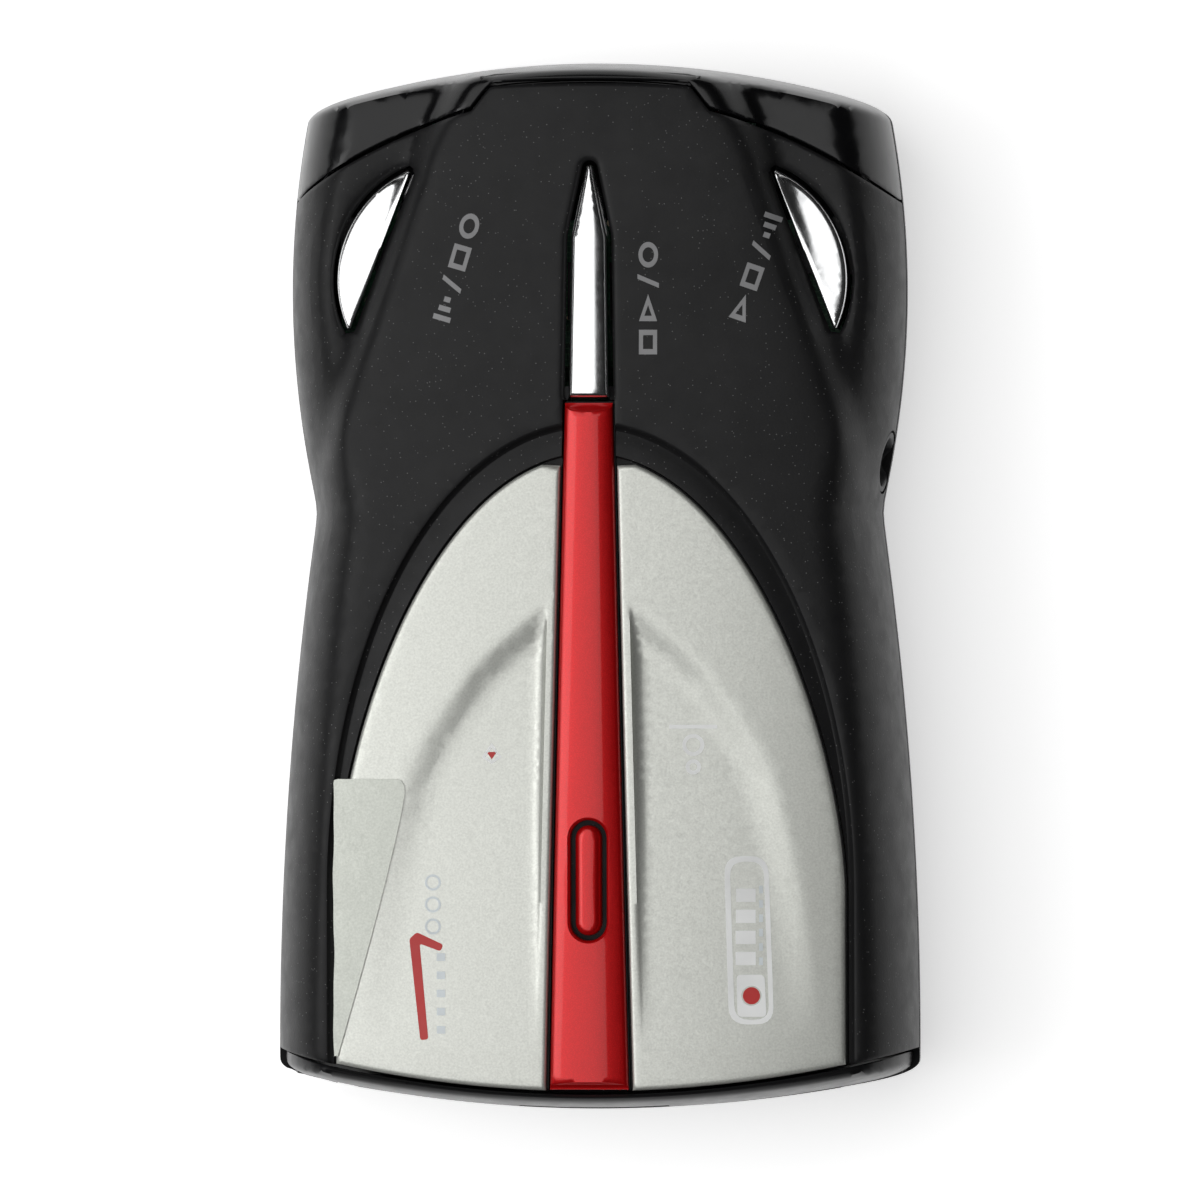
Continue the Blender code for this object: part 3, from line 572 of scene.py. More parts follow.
def silver_paint(name, colour):
    """Fine metallic paint: pale warm grey with flake-sized grain."""
    made = Finish(name, colour, 0.4, 0.5, **{"Coat Weight": 0.1, "Coat Roughness": 0.3})
    grain = made.noise(0.22, 3.0)
    specks = made.ramp(grain, (0.32, 0.0), (0.68, 1.0))
    made.drive("Base Color", made.mix(specks, shade(colour, 0.9), shade(colour, 1.09)))
    made.drive("Roughness", made.ramp(made.noise(0.5, 2.0), (0.3, 0.32), (0.7, 0.42)))
    made.bump(grain, 0.008)
    return made.material


def red_paint():
    """Candy red: metallic flakes under a clear coat."""
    colour = (0.5, 0.0015, 0.003)
    coat = {"Coat Weight": 0.45, "Coat Roughness": 0.06, "Specular IOR Level": 0.3}
    made = Finish("red_metallic", colour, 0.36, 0.5, **coat)
    flakes = made.ramp(made.cells(0.12), (0.1, 1.0), (0.6, 0.0))
    made.drive("Base Color", made.mix(flakes, shade(colour, 0.92), (0.6, 0.004, 0.006, 1)))
    made.bump(made.noise(0.12, 2.0), 0.0015)
    return made.material


def board_finish():
    """Solder mask over copper tracks, with small tinned pads."""
    made = Finish("circuit_board", (0.02, 0.14, 0.06), 0.38)
    links = {"Vector": made.place, "Scale": 420.0, "Color1": (0.015, 0.12, 0.05, 1)}
    links |= {"Color2": (0.02, 0.16, 0.07, 1), "Mortar": (0.05, 0.24, 0.1, 1)}
    tracks = made.node("ShaderNodeTexBrick", links)
    pads = made.ramp(made.cells(2.3), (0.17, 1.0), (0.19, 0.0))
    made.drive("Base Color", made.mix(pads, tracks.outputs["Color"], (0.6, 0.55, 0.4, 1)))
    made.drive("Metallic", pads)
    made.bump(made.noise(0.5, 2.0), 0.01)
    return made.material


SATIN, GLOSSY = {"Specular IOR Level": 0.16}, {"Specular IOR Level": 0.3}
BLACK = moulded("black_plastic", (0.011, 0.011, 0.0115), 0.4, 0.3, 0.012, fleck=0.12, **SATIN)
TUB = moulded("black_plastic_under", (0.012, 0.012, 0.013), 0.5, 0.45, 0.03, **GLOSSY)
SMOKED = moulded("smoked_window", (0.003, 0.003, 0.0034), 0.24, 4.0, 0.001, **GLOSSY)
COVER = moulded("black_satin", (0.006, 0.006, 0.0065), 0.3, 0.6, 0.004, **SATIN)
SILVER = silver_paint("silver_paint", (0.54, 0.55, 0.51))
RED = red_paint()
CHROME = metal("chrome", (0.72, 0.725, 0.73), 0.2, 8.0, 0.001)
FILM = silver_paint("foil", (0.42, 0.435, 0.395))
CHIP = moulded("chip_black", (0.02, 0.02, 0.022), 0.5, 0.2, 0.01)
TINNED = metal("tinned_steel", (0.66, 0.66, 0.65), 0.28, 0.6, 0.006)
CAST = metal("die_cast", (0.5, 0.5, 0.52), 0.45, 0.35, 0.02)
STEEL = metal("screw_steel", (0.2, 0.2, 0.215), 0.34, 0.5, 0.006)
SPRING = metal("spring_steel", (0.45, 0.45, 0.47), 0.25, 0.5, 0.003)
RUBBER = moulded("rubber", (0.012, 0.012, 0.012), 0.85, 0.5, 0.05)
PAPER = moulded("label", (0.36, 0.36, 0.36), 0.55, 0.6, 0.006)
LENS = moulded("lens", (0.16, 0.01, 0.015), 0.06, 5.0, 0.002, **{"Coat Weight": 1.0})
BOARD = board_finish()
LEGEND = moulded("legend_grey", (0.23, 0.23, 0.235), 0.5, 0.3, 0.004)
WHITE = moulded("print_white", (0.86, 0.87, 0.86), 0.5, 0.3, 0.004)
PALE = moulded("print_pale", (0.66, 0.71, 0.73), 0.5, 0.3, 0.004)
RED_INK = moulded("print_red", (0.5, 0.012, 0.01), 0.45, 0.3, 0.004)
LED = moulded("led_red", (0.2, 0.004, 0.004), 0.2, 0.5, 0.004)

# --- casings

# Border rings: how far down the rounded edge each one lies, closer together near the outline.
BORDER = [math.sin(math.radians(a)) for a in (88.5, 86, 83, 79, 74, 68, 61, 53, 44, 34, 23, 11)]
OUTLINE = body_ring(1.0)
RINGS = [(OUTLINE, True)] + [(body_ring(r), True) for r in BORDER]
WHOLE = (-35.0, -56.0, 35.0, 56.0)
ACROSS = np.linspace(-36, 36, 145)
SIDES = (-1, 1)
SELECT = wound(evenly(select_loop(), 0.7))
MOONS = {side: wound(evenly(moon_loop(side), 0.6)) for side in SIDES}
RELEASE = stadium((0, sum(RELEASE_ENDS) / 2), RELEASE_HALF, RELEASE_ENDS[1] - RELEASE_ENDS[0])


def crossing(line, shift=0.0):
    """Line across the whole body, from a function of x."""
    return pairs(ACROSS, line(ACROSS) + shift), False


def ridge_lines():
    lines = []
    for offset in (-2.2, -1.5, -1.0, -0.6, -0.3, 0.0, 0.3, 0.6, 1.0, 1.5, 2.2, 3.0, 4.0, 5.0, 6.0):
        y = np.linspace(-22.0, 56.0, 90)
        x = ridge(y) + offset
        for side in SIDES:
            lines.append((pairs(side * x, y), False))
    return lines


def arch_line(distance):
    """The sunken arch's rim moved outwards, from the left front end round to the right one."""
    turn = np.linspace(-math.pi / 2, math.pi / 2, 121)
    x, y = VALLEY_HALF * np.sin(turn), ARCH_FOOT_Y + VALLEY_RISE * np.cos(turn)
    normal = pairs(np.sin(turn) / VALLEY_HALF, np.cos(turn) / VALLEY_RISE)
    curve = pushed(pairs(x, y), normal, distance)
    legs = np.linspace(-56.0, -33.0, 20)
    left = pairs(np.full(20, -VALLEY_HALF - distance), legs)
    right = np.stack([np.full(20, VALLEY_HALF + distance), legs[::-1]], 1)
    return np.concatenate([left, curve, right]), False


def panel_arch(distance):
    """The panels' outer edge moved outwards."""
    t = np.linspace(0, 1, 90) ** 1.8
    y = PANEL_APEX_Y + 0.6 - PANEL_RISE * t
    half = pairs(panel_outer(y), y)
    half = half[half[:, 0] > 0.05]
    step = np.gradient(half, axis=0)
    half = pushed(half, np.stack([-step[:, 1], step[:, 0]], 1), distance)
    foot = np.stack([np.full(16, half[-1, 0]), np.linspace(half[-1, 1] - 1.2, -56.0, 16)], 1)
    right = np.concatenate([half, foot])
    return np.concatenate([right[::-1] * [-1, 1], right]), False


def strip_lines(offset, low=-56.0, high=19.1):
    y = np.linspace(high + offset, low, 90)
    half = strip_half(np.minimum(y, high)) + offset
    right = pairs(half, y)
    return np.concatenate([right[::-1], right * [-1, 1]]), False


# How far the skin lies below the body's surface, by distance from an edge.
LEDGE = [(-5.0, 0.3), (-3.4, 0.36), (-1.7, 0.52), (-0.9, 0.74), (-0.35, 0.86), (-0.1, 0.72)]
LEDGE += [(0.08, 0.4), (0.24, 0.14), (0.5, 0.03), (0.9, 0.0)]
KEY_RIM = [(MOAT, 0.55), (0.55, 0.34), (0.72, 0.14), (1.0, 0.03), (1.4, 0.0)]
DISH_RIM = [(MOAT, 0.95), (0.56, 0.72), (0.8, 0.5), (1.3, 0.28), (2.2, 0.08), (3.2, 0.0)]
SEAM_STEPS = (0.0, 0.14, 0.4)


def profile(distance, stops):
    return np.interp(distance, *zip(*stops))


def seam_distance(x, y, line, shift=0.0):
    return line_distance(x, y, crossing(line, shift)[0], closed=False)


def filled(loop):
    """What keep() is for a piece that fills this loop."""
    return lambda x, y: inside(x, y, loop)


def rims_of(loop, *depths):
    """The loop and smaller ones at these distances inside it."""
    return [(loop, True)] + [(grown(loop, -d), True) for d in depths]


def casing_skin(x, y):
    """Top casing: hull and wings, sunken arch, pockets for panels and strip, rims round the keys."""
    depth = profile(valley_gap(x, y), LEDGE)
    depth = np.maximum(depth, profile(panel_gap(x, y), [(0.12, 1.65), (0.3, 0.0)]))
    trench = np.maximum(np.abs(x) - strip_half(y), y - STRIP_ENDS[1])
    depth = np.maximum(depth, profile(trench, [(0.2, 2.0), (0.34, 0.12), (0.6, 0.0)]))
    depth = np.maximum(depth, profile(gap_from(x, y, SELECT), KEY_RIM))
    for side in SIDES:
        depth = np.maximum(depth, profile(gap_from(x, y, MOONS[side]), DISH_RIM))
    rear, front = seam_distance(x, y, window_edge, -WINDOW_GAP), seam_distance(x, y, casing_front)
    depth = depth + profile(np.minimum(rear, front), [(0, 0.2), (0.12, 0.07), (0.35, 0.0)])
    return np.maximum(skin_height(x, y) - depth, SEAM_Z)


def make_casing():
    def keep(x, y):
        kept = inside(x, y, OUTLINE) & (y > casing_front(x)) & (y < window_edge(x) - WINDOW_GAP)
        for key in (SELECT, *MOONS.values()):
            kept &= gap_from(x, y, key) > MOAT
        return kept

    lines = RINGS + ridge_lines()
    lines += [crossing(casing_front, d) for d in SEAM_STEPS]
    lines += [crossing(window_edge, -WINDOW_GAP - d) for d in SEAM_STEPS]
    lines += [arch_line(d) for d, _ in LEDGE if d < 0.9]
    lines += [panel_arch(d) for d in (0.12, 0.3)]
    lines += [strip_lines(d) for d in (0.2, 0.34, 0.6)]
    lines += [(grown(SELECT, d), True) for d, _ in KEY_RIM]
    lines += [(grown(MOONS[side], d), True) for d, _ in DISH_RIM for side in SIDES]
    flat, faces = plan_mesh(lines, keep, 1.25, WHOLE)
    made = sheet_piece("top_casing", flat, faces, casing_skin, BLACK, 1.6)
    bore = [(0, 24.0), (3.35, 24.0), (3.35, 36.0), (0, 36.0)]
    return bored(made, turned("bore", bore, INLET, BLACK, lying=True))


def make_window():
    def keep(x, y):
        return inside(x, y, OUTLINE) & (y > window_edge(x) + WINDOW_GAP)

    def height(x, y):
        edge = seam_distance(x, y, window_edge, WINDOW_GAP)
        rim = profile(edge, [(0, 0.22), (0.12, 0.07), (0.35, 0.0)])
        return np.maximum(skin_height(x, y) - rim, SEAM_Z)

    lines = RINGS + ridge_lines() + [crossing(window_edge, WINDOW_GAP + d) for d in SEAM_STEPS]
    flat, faces = plan_mesh(lines, keep, 1.25, WHOLE)
    return sheet_piece("display_shield", flat, faces, height, SMOKED, 1.4)


def make_antenna_cover():
    wide = 1 / COVER_SCALE

    def keep(x, y):
        return inside(x * wide, y, OUTLINE) & (y < casing_front(x) - COVER_GAP)

    def height(x, y):
        edge = seam_distance(x, y, casing_front, -COVER_GAP)
        rim = profile(edge, [(0, 0.45), (0.15, 0.25), (0.4, 0.15)])
        return np.maximum(skin_height(x * wide, y) - rim, SEAM_Z)

    lines = [(ring * [COVER_SCALE, 1], closed) for ring, closed in RINGS]
    lines += [crossing(casing_front, -COVER_GAP - d) for d in SEAM_STEPS]
    flat, faces = plan_mesh(lines, keep, 0.9, WHOLE)
    made = closed_piece("antenna_cover", flat, faces, height, SEAM_Z - 0.2, COVER)
    return bored(made, block("slot", (-7.9, -60, 20.2), (7.9, -50, 23.2), COVER))


def grille_slots():
    slots = []
    for k in range(-3, 4):
        reach = math.sqrt(12.0**2 - (GRILLE_PITCH * k) ** 2)
        slots.append(stadium((0, SPEAKER_Y + GRILLE_PITCH * k), 0.8, 2 * reach, 10, math.pi / 2))
    return [wound(s) for s in slots]


def circle(x, y, radius, count=28):
    turn = np.linspace(0, math.tau, count, endpoint=False)
    return pairs(x + radius * np.cos(turn), y + radius * np.sin(turn))


def make_tub():
    holes = grille_slots() + [circle(x, y, 2.9) for x, y in SCREW_PLACES]
    label = rounded(bar(-15, -17, 15, 1), 1.0)

    def keep(x, y):
        kept = inside(x, y, OUTLINE)
        for hole in holes:
            kept &= ~inside(x, y, hole)
        return kept

    def height(x, y):
        z = belly_height(x, y) + profile(gap_from(x, y, label), [(-0.02, 0.4), (0.1, 0.0)])
        rim = np.full(np.shape(x), 9.0)
        for hole in holes:
            rim = np.minimum(rim, line_distance(x, y, hole))
        return np.minimum(z + profile(rim, [(0, 0.25), (0.12, 0.08), (0.3, 0.0)]), TUB_RIM_Z)

    lines = RINGS + [(hole, True) for hole in holes]
    lines += [(grown(hole, d), True) for hole in holes for d in (0.14, 0.32)]
    lines += [(grown(wound(label), d), True) for d in (-0.02, 0.1)]
    flat, faces = plan_mesh(lines, keep, 1.5, WHOLE)
    made = sheet_piece("bottom_tub", flat, faces[:, ::-1], height, TUB, 1.8)
    x, y = WHEEL_AXIS
    return bored(made, block("slot", (-36.0, y - 7.6, 4.5), (-24.3, y + 7.6, 8.7), TUB))


# --- inlays


def crease(y):
    """Outer edge of the scoop pressed into each panel: distance from the centre line."""
    return np.interp(
        -y,
        [-0.5, 1.5, 3.0, 5.7, 8.5, 12.0, 15.5, 19.4, 25.7, 32.0, 39.4, 47.0],
        [3.6, 4.4, 6.4, 9.7, 12.5, 15.0, 17.3, 19.2, 20.9, 22.3, 23.4, 24.0],
    )


def scoop_line(shift):
    y = np.linspace(-0.9, -47.0, 80)
    line = pairs(crease(y), y)
    step = np.gradient(line, axis=0)
    return pushed(line, np.stack([step[:, 1], -step[:, 0]], 1), shift)


SCOOP = scoop_line(0.0)


def scoop_depth(x, y):
    """The scoop: a soft slope from the crease down to a sharp step beside the strip."""
    reach = line_distance(np.abs(x), y, SCOOP, closed=False)
    within = (np.abs(x) < crease(y)) & (y < -0.9)
    reach = np.where(within, reach, 0)
    slope = profile(reach, [(0, 0), (0.5, 0.06), (1.6, 0.42), (2.6, 0.75), (3.6, 0.9), (9, 0.98)])
    fade = np.interp(y, [-48.0, -34.0, -20.0, -9.0], [0.0, 0.35, 0.85, 1.0])
    rail = panel_inner(y) + RAIL_WIDTH
    step = profile(np.abs(x) - rail, [(0, 0.0), (0.16, 0.35), (0.45, 0.75), (1.2, 1.0)])
    return slope * fade * step


def panel_skin(x, y):
    return skin_height(x, y) - PANEL_SINK - scoop_depth(x, y)


def under_panel(x, y):
    return crown_height(x, y) - 1.3 - 1.0 * (1 - roundover(x, y))


def make_panel(side, name):
    t = np.linspace(0, 1, 110) ** 1.7
    y = PANEL_APEX_Y - 0.35 + (-50.0 - PANEL_APEX_Y) * t
    outer = pairs(np.maximum(panel_outer(y), panel_inner(y) + 0.35), y)
    foot_x = np.linspace(PANEL_HALF, panel_inner(-52.0), 50)
    foot = pairs(foot_x, casing_front(foot_x) + 0.1)
    inner_y = np.linspace(-52.0, PANEL_APEX_Y - 0.45, 90)
    inner = pairs(panel_inner(inner_y), inner_y)
    loop = wound(np.concatenate([outer[outer[:, 1] > -50.0], foot, inner]))

    def height(x, y):
        x = side * x
        rim = profile(line_distance(x, y, loop), [(0, 0.3), (0.1, 0.13), (0.28, 0.03), (0.5, 0.0)])
        return skin_height(x, y) - PANEL_SINK - rim - scoop_depth(x, y)

    lines = rims_of(loop, 0.1, 0.28, 0.5)
    lines += [(scoop_line(s), False) for s in (0.0, 0.6, 1.6, 2.6, 3.6)]
    y = np.linspace(2.0, -50.0, 120)
    rail = panel_inner(y) + RAIL_WIDTH
    lines += [(pairs(rail + d, y), False) for d in (0, 0.16, 0.45, 1.2)]
    flat, faces = plan_mesh(lines, filled(loop), 0.9, (0, -56, 30, 16))
    if side < 0:
        flat, faces = flat * [-1, 1], faces[:, ::-1]
    return closed_piece(name, flat, faces, height, under_panel, SILVER)


def strip_top(x, y):
    """Crowned top of the strip, dipping into the groove round the release key."""
    bow = 0.55 * (1 - (x / trim_half(y)) ** 2)
    edge = np.minimum(trim_half(y) - np.abs(x), np.minimum(STRIP_ENDS[1] - y, y - STRIP_ENDS[0]))
    rim = profile(edge, [(0, 0.35), (0.1, 0.14), (0.3, 0.03), (0.5, 0.0)])
    groove = profile(gap_from(x, y, RELEASE), [(RELEASE_GAP, 0.42), (0.66, 0.16), (0.85, 0.0)])
    return skin_height(x, y) + bow - rim - groove


def make_strip():
    y = np.linspace(*STRIP_ENDS, 100)
    right = pairs(trim_half(y), y)
    loop = wound(np.concatenate([right, right[::-1] * [-1, 1]]))
    hole = grown(RELEASE, RELEASE_GAP)

    def keep(x, y):
        return inside(x, y, loop) & ~inside(x, y, hole)

    lines = rims_of(loop, 0.1, 0.3, 0.5)
    lines += [(grown(RELEASE, d), True) for d in (RELEASE_GAP, 0.66, 0.85)]
    flat, faces = plan_mesh(lines, keep, 0.6, (-6, -56, 6, 22))

    def under(x, y):
        return crown_height(x, y) - 1.55

    return closed_piece("centre_trim", flat, faces, strip_top, under, RED)


def make_cap(name, loop, finish, bottom, crown, rims, pitch=0.7):
    """Key cap with a rounded rim, this much above the body's surface."""

    def height(x, y):
        return skin_height(x, y) + crown(x, y) - profile(line_distance(x, y, loop), rims)

    lines = rims_of(loop, *(d for d, _ in rims[1:]))
    low, high = loop.min(0) - 1, loop.max(0) + 1
    flat, faces = plan_mesh(lines, filled(loop), pitch, (*low, *high))
    return closed_piece(name, flat, faces, height, bottom, finish, sharp=50)


def make_keys():
    def select_crown(x, y):
        half = select_half(y)
        bow = (1 - (x / np.maximum(half, 0.3)) ** 2).clip(0, 1)
        return 0.3 + 0.5 * bow * np.clip(half / 1.8, 0, 1)

    def moon_crown(x, y):
        return 0.25

    def release_crown(x, y):
        return 0.35 + 0.25 * (1 - (x / RELEASE_HALF) ** 2)

    select_rims = ((0, 0.5), (0.08, 0.3), (0.22, 0.1), (0.45, 0.0))
    moon_rims = ((0, 0.45), (0.08, 0.24), (0.25, 0.08), (0.6, 0.0))
    release_rims = ((0, 0.55), (0.1, 0.28), (0.3, 0.08), (0.6, 0.0))
    return (
        make_cap("select_cap", SELECT, CHROME, 25.5, select_crown, select_rims, 0.45),
        make_cap("set_cap", MOONS[-1], CHROME, 20.1, moon_crown, moon_rims),
        make_cap("program_cap", MOONS[1], CHROME, 20.1, moon_crown, moon_rims),
        make_cap("release_cap", RELEASE, RED, 27.2, release_crown, release_rims, 0.4),
    )


def make_film():
    """Thin blank film laid over the left panel's edge, its corners rounded."""
    margin = np.array([(-26.9, y) for y in np.linspace(-20.6, -49.2, 40)])
    margin[:, 0] += 0.06 * np.sin(margin[:, 1] * 0.45) + 0.03 * np.sin(margin[:, 1] * 1.1)
    inner_y = np.linspace(-49.2, -21.6, 40)
    slant = -19.3 - 7.2 * ((-21.6 - inner_y) / 27.6) ** 1.15
    inner = pairs(slant, inner_y)
    corner = np.array([(-19.35, -20.9), (-19.7, -20.35), (-20.3, -20.2)])
    loop = wound(np.concatenate([margin, inner, corner, [(-26.4, -20.2), (-26.8, -20.3)]]))

    def height(x, y):
        ripple = 0.03 * np.sin(y * 0.9 + x) * np.clip((-x - 24.5) / 2, 0, 1)
        return skin_height(x, y) + 0.08 + ripple

    def under(x, y):
        return height(x, y) - 0.07

    flat, faces = plan_mesh(rims_of(loop, 0.7), filled(loop), 0.8, (-28, -52, -18, -19))
    return closed_piece("foil_film", flat, faces, height, under, FILM)


# --- printed marks


def odd_inside(loops):
    """What keep() is for the area inside an odd number of the loops."""

    def keep(x, y):
        kept = np.zeros(np.shape(x), bool)
        for loop in loops:
            kept ^= inside(x, y, loop)
        return kept

    return keep


def bar(x0, y0, x1, y1):
    return np.array([(x0, y0), (x1, y0), (x1, y1), (x0, y1)], float)


def make_print(name, loops, surface, finish):
    """Ink on a surface: the area inside an odd number of the loops, a few hundredths thick."""
    loops = [evenly(np.asarray(loop, float), 0.5) for loop in loops]
    every = np.concatenate(loops)
    low, high = every.min(0) - 0.2, every.max(0) + 0.2
    flat, faces = plan_mesh([(loop, True) for loop in loops], odd_inside(loops), 0.8, (*low, *high))

    def top(x, y):
        return surface(x, y) + 0.03

    def under(x, y):
        return surface(x, y) + 0.004

    return closed_piece(name, flat, faces, top, under, finish)


def key_legend(first, second):
    """Row of plain marks along +X, 2.4 high: outline shapes, a slash and more shapes."""
    wedge = np.array([(0, -1.1), (2.5, 0), (0, 1.1)])
    shapes = {
        "ring": [circle(1.2, 0, 1.2), circle(1.2, 0, 0.7)],
        "square": [bar(0, -1.1, 2.3, 1.1), bar(0.5, -0.6, 1.8, 0.6)],
        "wedge": [wedge, np.array([(0.5, -0.45), (1.5, 0), (0.5, 0.45)])],
        "bars": [bar(0.9 * k, -0.4 - 0.35 * k, 0.9 * k + 0.5, 0.4 + 0.35 * k) for k in range(3)],
        "slash": [np.array([(0, -1.3), (0.45, -1.3), (1.3, 1.3), (0.85, 1.3)])],
    }
    loops, place = [], 0.0
    for mark in (*first, "slash", *second):
        loops += [np.asarray(s, float) + [place, 0] for s in shapes[mark]]
        place += 1.9 if mark == "slash" else 3.1
    return [loop - [(place - 0.6) / 2, 0] for loop in loops]


HOOK = [(-18.9, -36.9), (-18.1, -36.2), (-15.3, -37.5), (-15.6, -38.2), (-17.8, -37.4)]
HOOK += [(-16.9, -47.4), (-17.75, -47.5)]


def make_prints():
    """Plain marks in the places and colours of printed ones."""
    rows = (
        ("set_legend", ("ring", "square"), ("bars",), -1.86, (-13.9, 33.2)),
        ("select_legend", ("square", "wedge"), ("ring",), math.pi / 2, (6.2, 30.1)),
        ("program_legend", ("wedge", "square"), ("bars",), 1.24, (17.4, 33.4)),
    )
    made = []
    for name, first, second, angle, centre in rows:
        flat = [loop * [1.12, 0.86] for loop in key_legend(first, second)]
        loops = [spun(loop, angle) + np.array(centre) for loop in flat]
        made.append(make_print(name, loops, skin_height, LEGEND))
    emblem = [circle(10.9, y, r) for y, r in ((-16.6, 1.15), (-16.6, 0.75), (-18.9, 0.8), (-18.9, 0.4))]
    frame_loops = [
        rounded([(14.6, -45.8), (19.3, -45.8), (18.7, -28.2), (14.1, -28.2)], 1.9),
        rounded([(15.2, -45.3), (18.8, -45.3), (18.2, -28.8), (14.7, -28.8)], 1.5),
    ]
    badge = rounded([(15.5, -45.0), (18.5, -45.0), (18.3, -40.6), (15.4, -40.6)], 0.5)
    bars = [bar(15.3 + 0.02 * k, -39.6 + 2.2 * k, 17.4, -38.2 + 2.2 * k) for k in range(4)]
    ticks = [bar(17.75, -39.6 + 1.5 * k, 18.15, -38.8 + 1.5 * k) for k in range(6)]
    rings = [circle(-16.4, -31.0 - 2.3 * k, r) for k in range(3) for r in (0.85, 0.6)]
    squares = [bar(-16.0, -39.2 - 1.9 * k, -15.1, -38.4 - 1.9 * k) for k in range(5)]
    diamond = [
        [(-11.25, -17.9), (-10.2, -16.4), (-9.15, -17.9), (-10.2, -18.6)],
        [(-10.9, -17.85), (-10.2, -16.9), (-9.5, -17.85), (-10.2, -18.25)],
    ]
    for name, loops, ink in (
        ("emblem", [*emblem, bar(8.4, -14.9, 13.4, -14.5)], WHITE),
        ("badge_frame", frame_loops, WHITE),
        ("badge_block", [badge, circle(16.95, -42.8, 1.05)], WHITE),
        ("badge_spot", [circle(16.95, -42.8, 0.9)], RED_INK),
        ("badge_bars", bars, WHITE),
        ("badge_ticks", ticks, PALE),
        ("red_hook", [wound(rounded(HOOK, 0.3))], RED_INK),
        ("pale_rings", rings + squares, PALE),
        ("small_diamond", diamond, WHITE),
        ("small_spot", [[(-10.75, -17.35), (-9.65, -17.35), (-10.2, -18.1)]], RED_INK),
    ):
        made.append(make_print(name, loops, panel_skin, ink))
    return made


# --- what repeats


class Tree(Nodes):
    """A Geometry Nodes tree with named inputs, which ends in plain geometry of one finish."""

    def __init__(self, name, **inputs):
        self.tree = bpy.data.node_groups.new(name, "GeometryNodeTree")
        for socket, kind in (("Geometry", "Geometry"), *inputs.items(), ("Finish", "Material")):
            self.tree.interface.new_socket(socket, in_out="INPUT", socket_type=f"NodeSocket{kind}")
        self.tree.interface.new_socket("Geometry", in_out="OUTPUT", socket_type="NodeSocketGeometry")
        self.given = self.tree.nodes.new("NodeGroupInput").outputs

    def ending_in(self, shape):
        plain = self.result("GeometryNodeRealizeInstances", {0: shape})
        links = {"Geometry": plain, "Material": self.given["Finish"]}
        plain = self.result("GeometryNodeSetMaterial", links)
        self.node("NodeGroupOutput", {0: plain})
        return self.tree


def ring_tree():
    """The object's own mesh once more at each point of a ring, turned to face out."""
    made = Tree("ring_of_copies", Count="Int", Radius="Float")
    given = made.given
    links = {"Vertices": given["Count"], "Radius": given["Radius"]}
    ring = made.result("GeometryNodeMeshCircle", links)
    links = {"Vector": made.result("GeometryNodeInputPosition")}
    out = made.result("FunctionNodeAlignRotationToVector", links, axis="X", pivot_axis="Z")
    links = {"Points": ring, "Instance": given["Geometry"], "Rotation": out}
    return made.ending_in(made.result("GeometryNodeInstanceOnPoints", links))


def points_tree():
    """The object in Part placed at each vertex of the object's own mesh."""
    made = Tree("copies_at_points", Part="Object")
    info = made.node("GeometryNodeObjectInfo", {"Object": made.given["Part"]})
    links = {"Points": made.given["Geometry"], "Instance": info.outputs["Geometry"]}
    return made.ending_in(made.result("GeometryNodeInstanceOnPoints", links))


def coil_tree():
    """A wire wound into a spring, standing on the point Place."""
    sizes = {socket: "Float" for socket in ("Turns", "Radius", "Height", "Wire")}
    made = Tree("wound_wire", **sizes, Place="Vector")
    given = made.given
    links = {"Resolution": 32, "Rotations": given["Turns"], "Height": given["Height"]}
    links |= {"Start Radius": given["Radius"], "End Radius": given["Radius"]}
    spiral = made.result("GeometryNodeCurveSpiral", links)
    links = {"Resolution": 12, "Radius": given["Wire"]}
    wire = made.result("GeometryNodeCurvePrimitiveCircle", links)
    links = {"Curve": spiral, "Profile Curve": wire, "Fill Caps": True}
    coil = made.result("GeometryNodeCurveToMesh", links)
    links = {"Geometry": coil, "Translation": given["Place"]}
    return made.ending_in(made.result("GeometryNodeTransform", links))


COIL_TREE, RING_TREE, POINT_TREE = coil_tree(), ring_tree(), points_tree()


def grown_by(made, tree, **values):
    """The object after a Geometry Nodes tree with these inputs, as a plain mesh."""
    step = made.modifiers.new("copies", "NODES")
    step.node_group = tree
    sockets = {s.name: s.identifier for s in tree.interface.items_tree if s.in_out == "INPUT"}
    for name, value in values.items():
        step[sockets[name]] = value
    settle(made)
    made.data.shade_smooth()
    made.data.set_sharp_from_angle(angle=math.radians(SHARP))
    return made


def at_points(name, part, places, finish):
    """Copies of part at these places, as one plain mesh."""
    mesh = bpy.data.meshes.new(name)
    mesh.from_pydata([Vector(p) * MM for p in places], [], [])
    made = grown_by(placed(name, mesh), POINT_TREE, Part=part, Finish=finish)
    bpy.data.objects.remove(part)
    return made


def shifted(made, place):
    made.data.transform(Matrix.Translation(Vector(place) * MM))
    return made


def make_wheel():
    """Thumbwheel with a knurled rim."""
    x, y = WHEEL_AXIS
    r = WHEEL_RADIUS
    core = [(0, 4.9), (r - 0.9, 4.9), (r - 0.45, 5.2), (r - 0.45, 8.0), (r - 0.9, 8.3)]
    core += [(2.0, 8.3), (2.0, 12.5), (0, 12.5)]
    wheel = turned("volume_thumbwheel", core, (x, y, 0), BLACK, sides=72)
    rib = block("volume_knurls", (r - 0.75, -0.17, 5.15), (r - 0.02, 0.17, 8.05), BLACK, 0.08)
    grown_by(rib, RING_TREE, Count=48, Radius=0.00001, Finish=BLACK)
    return wheel, shifted(rib, (x, y, 0))


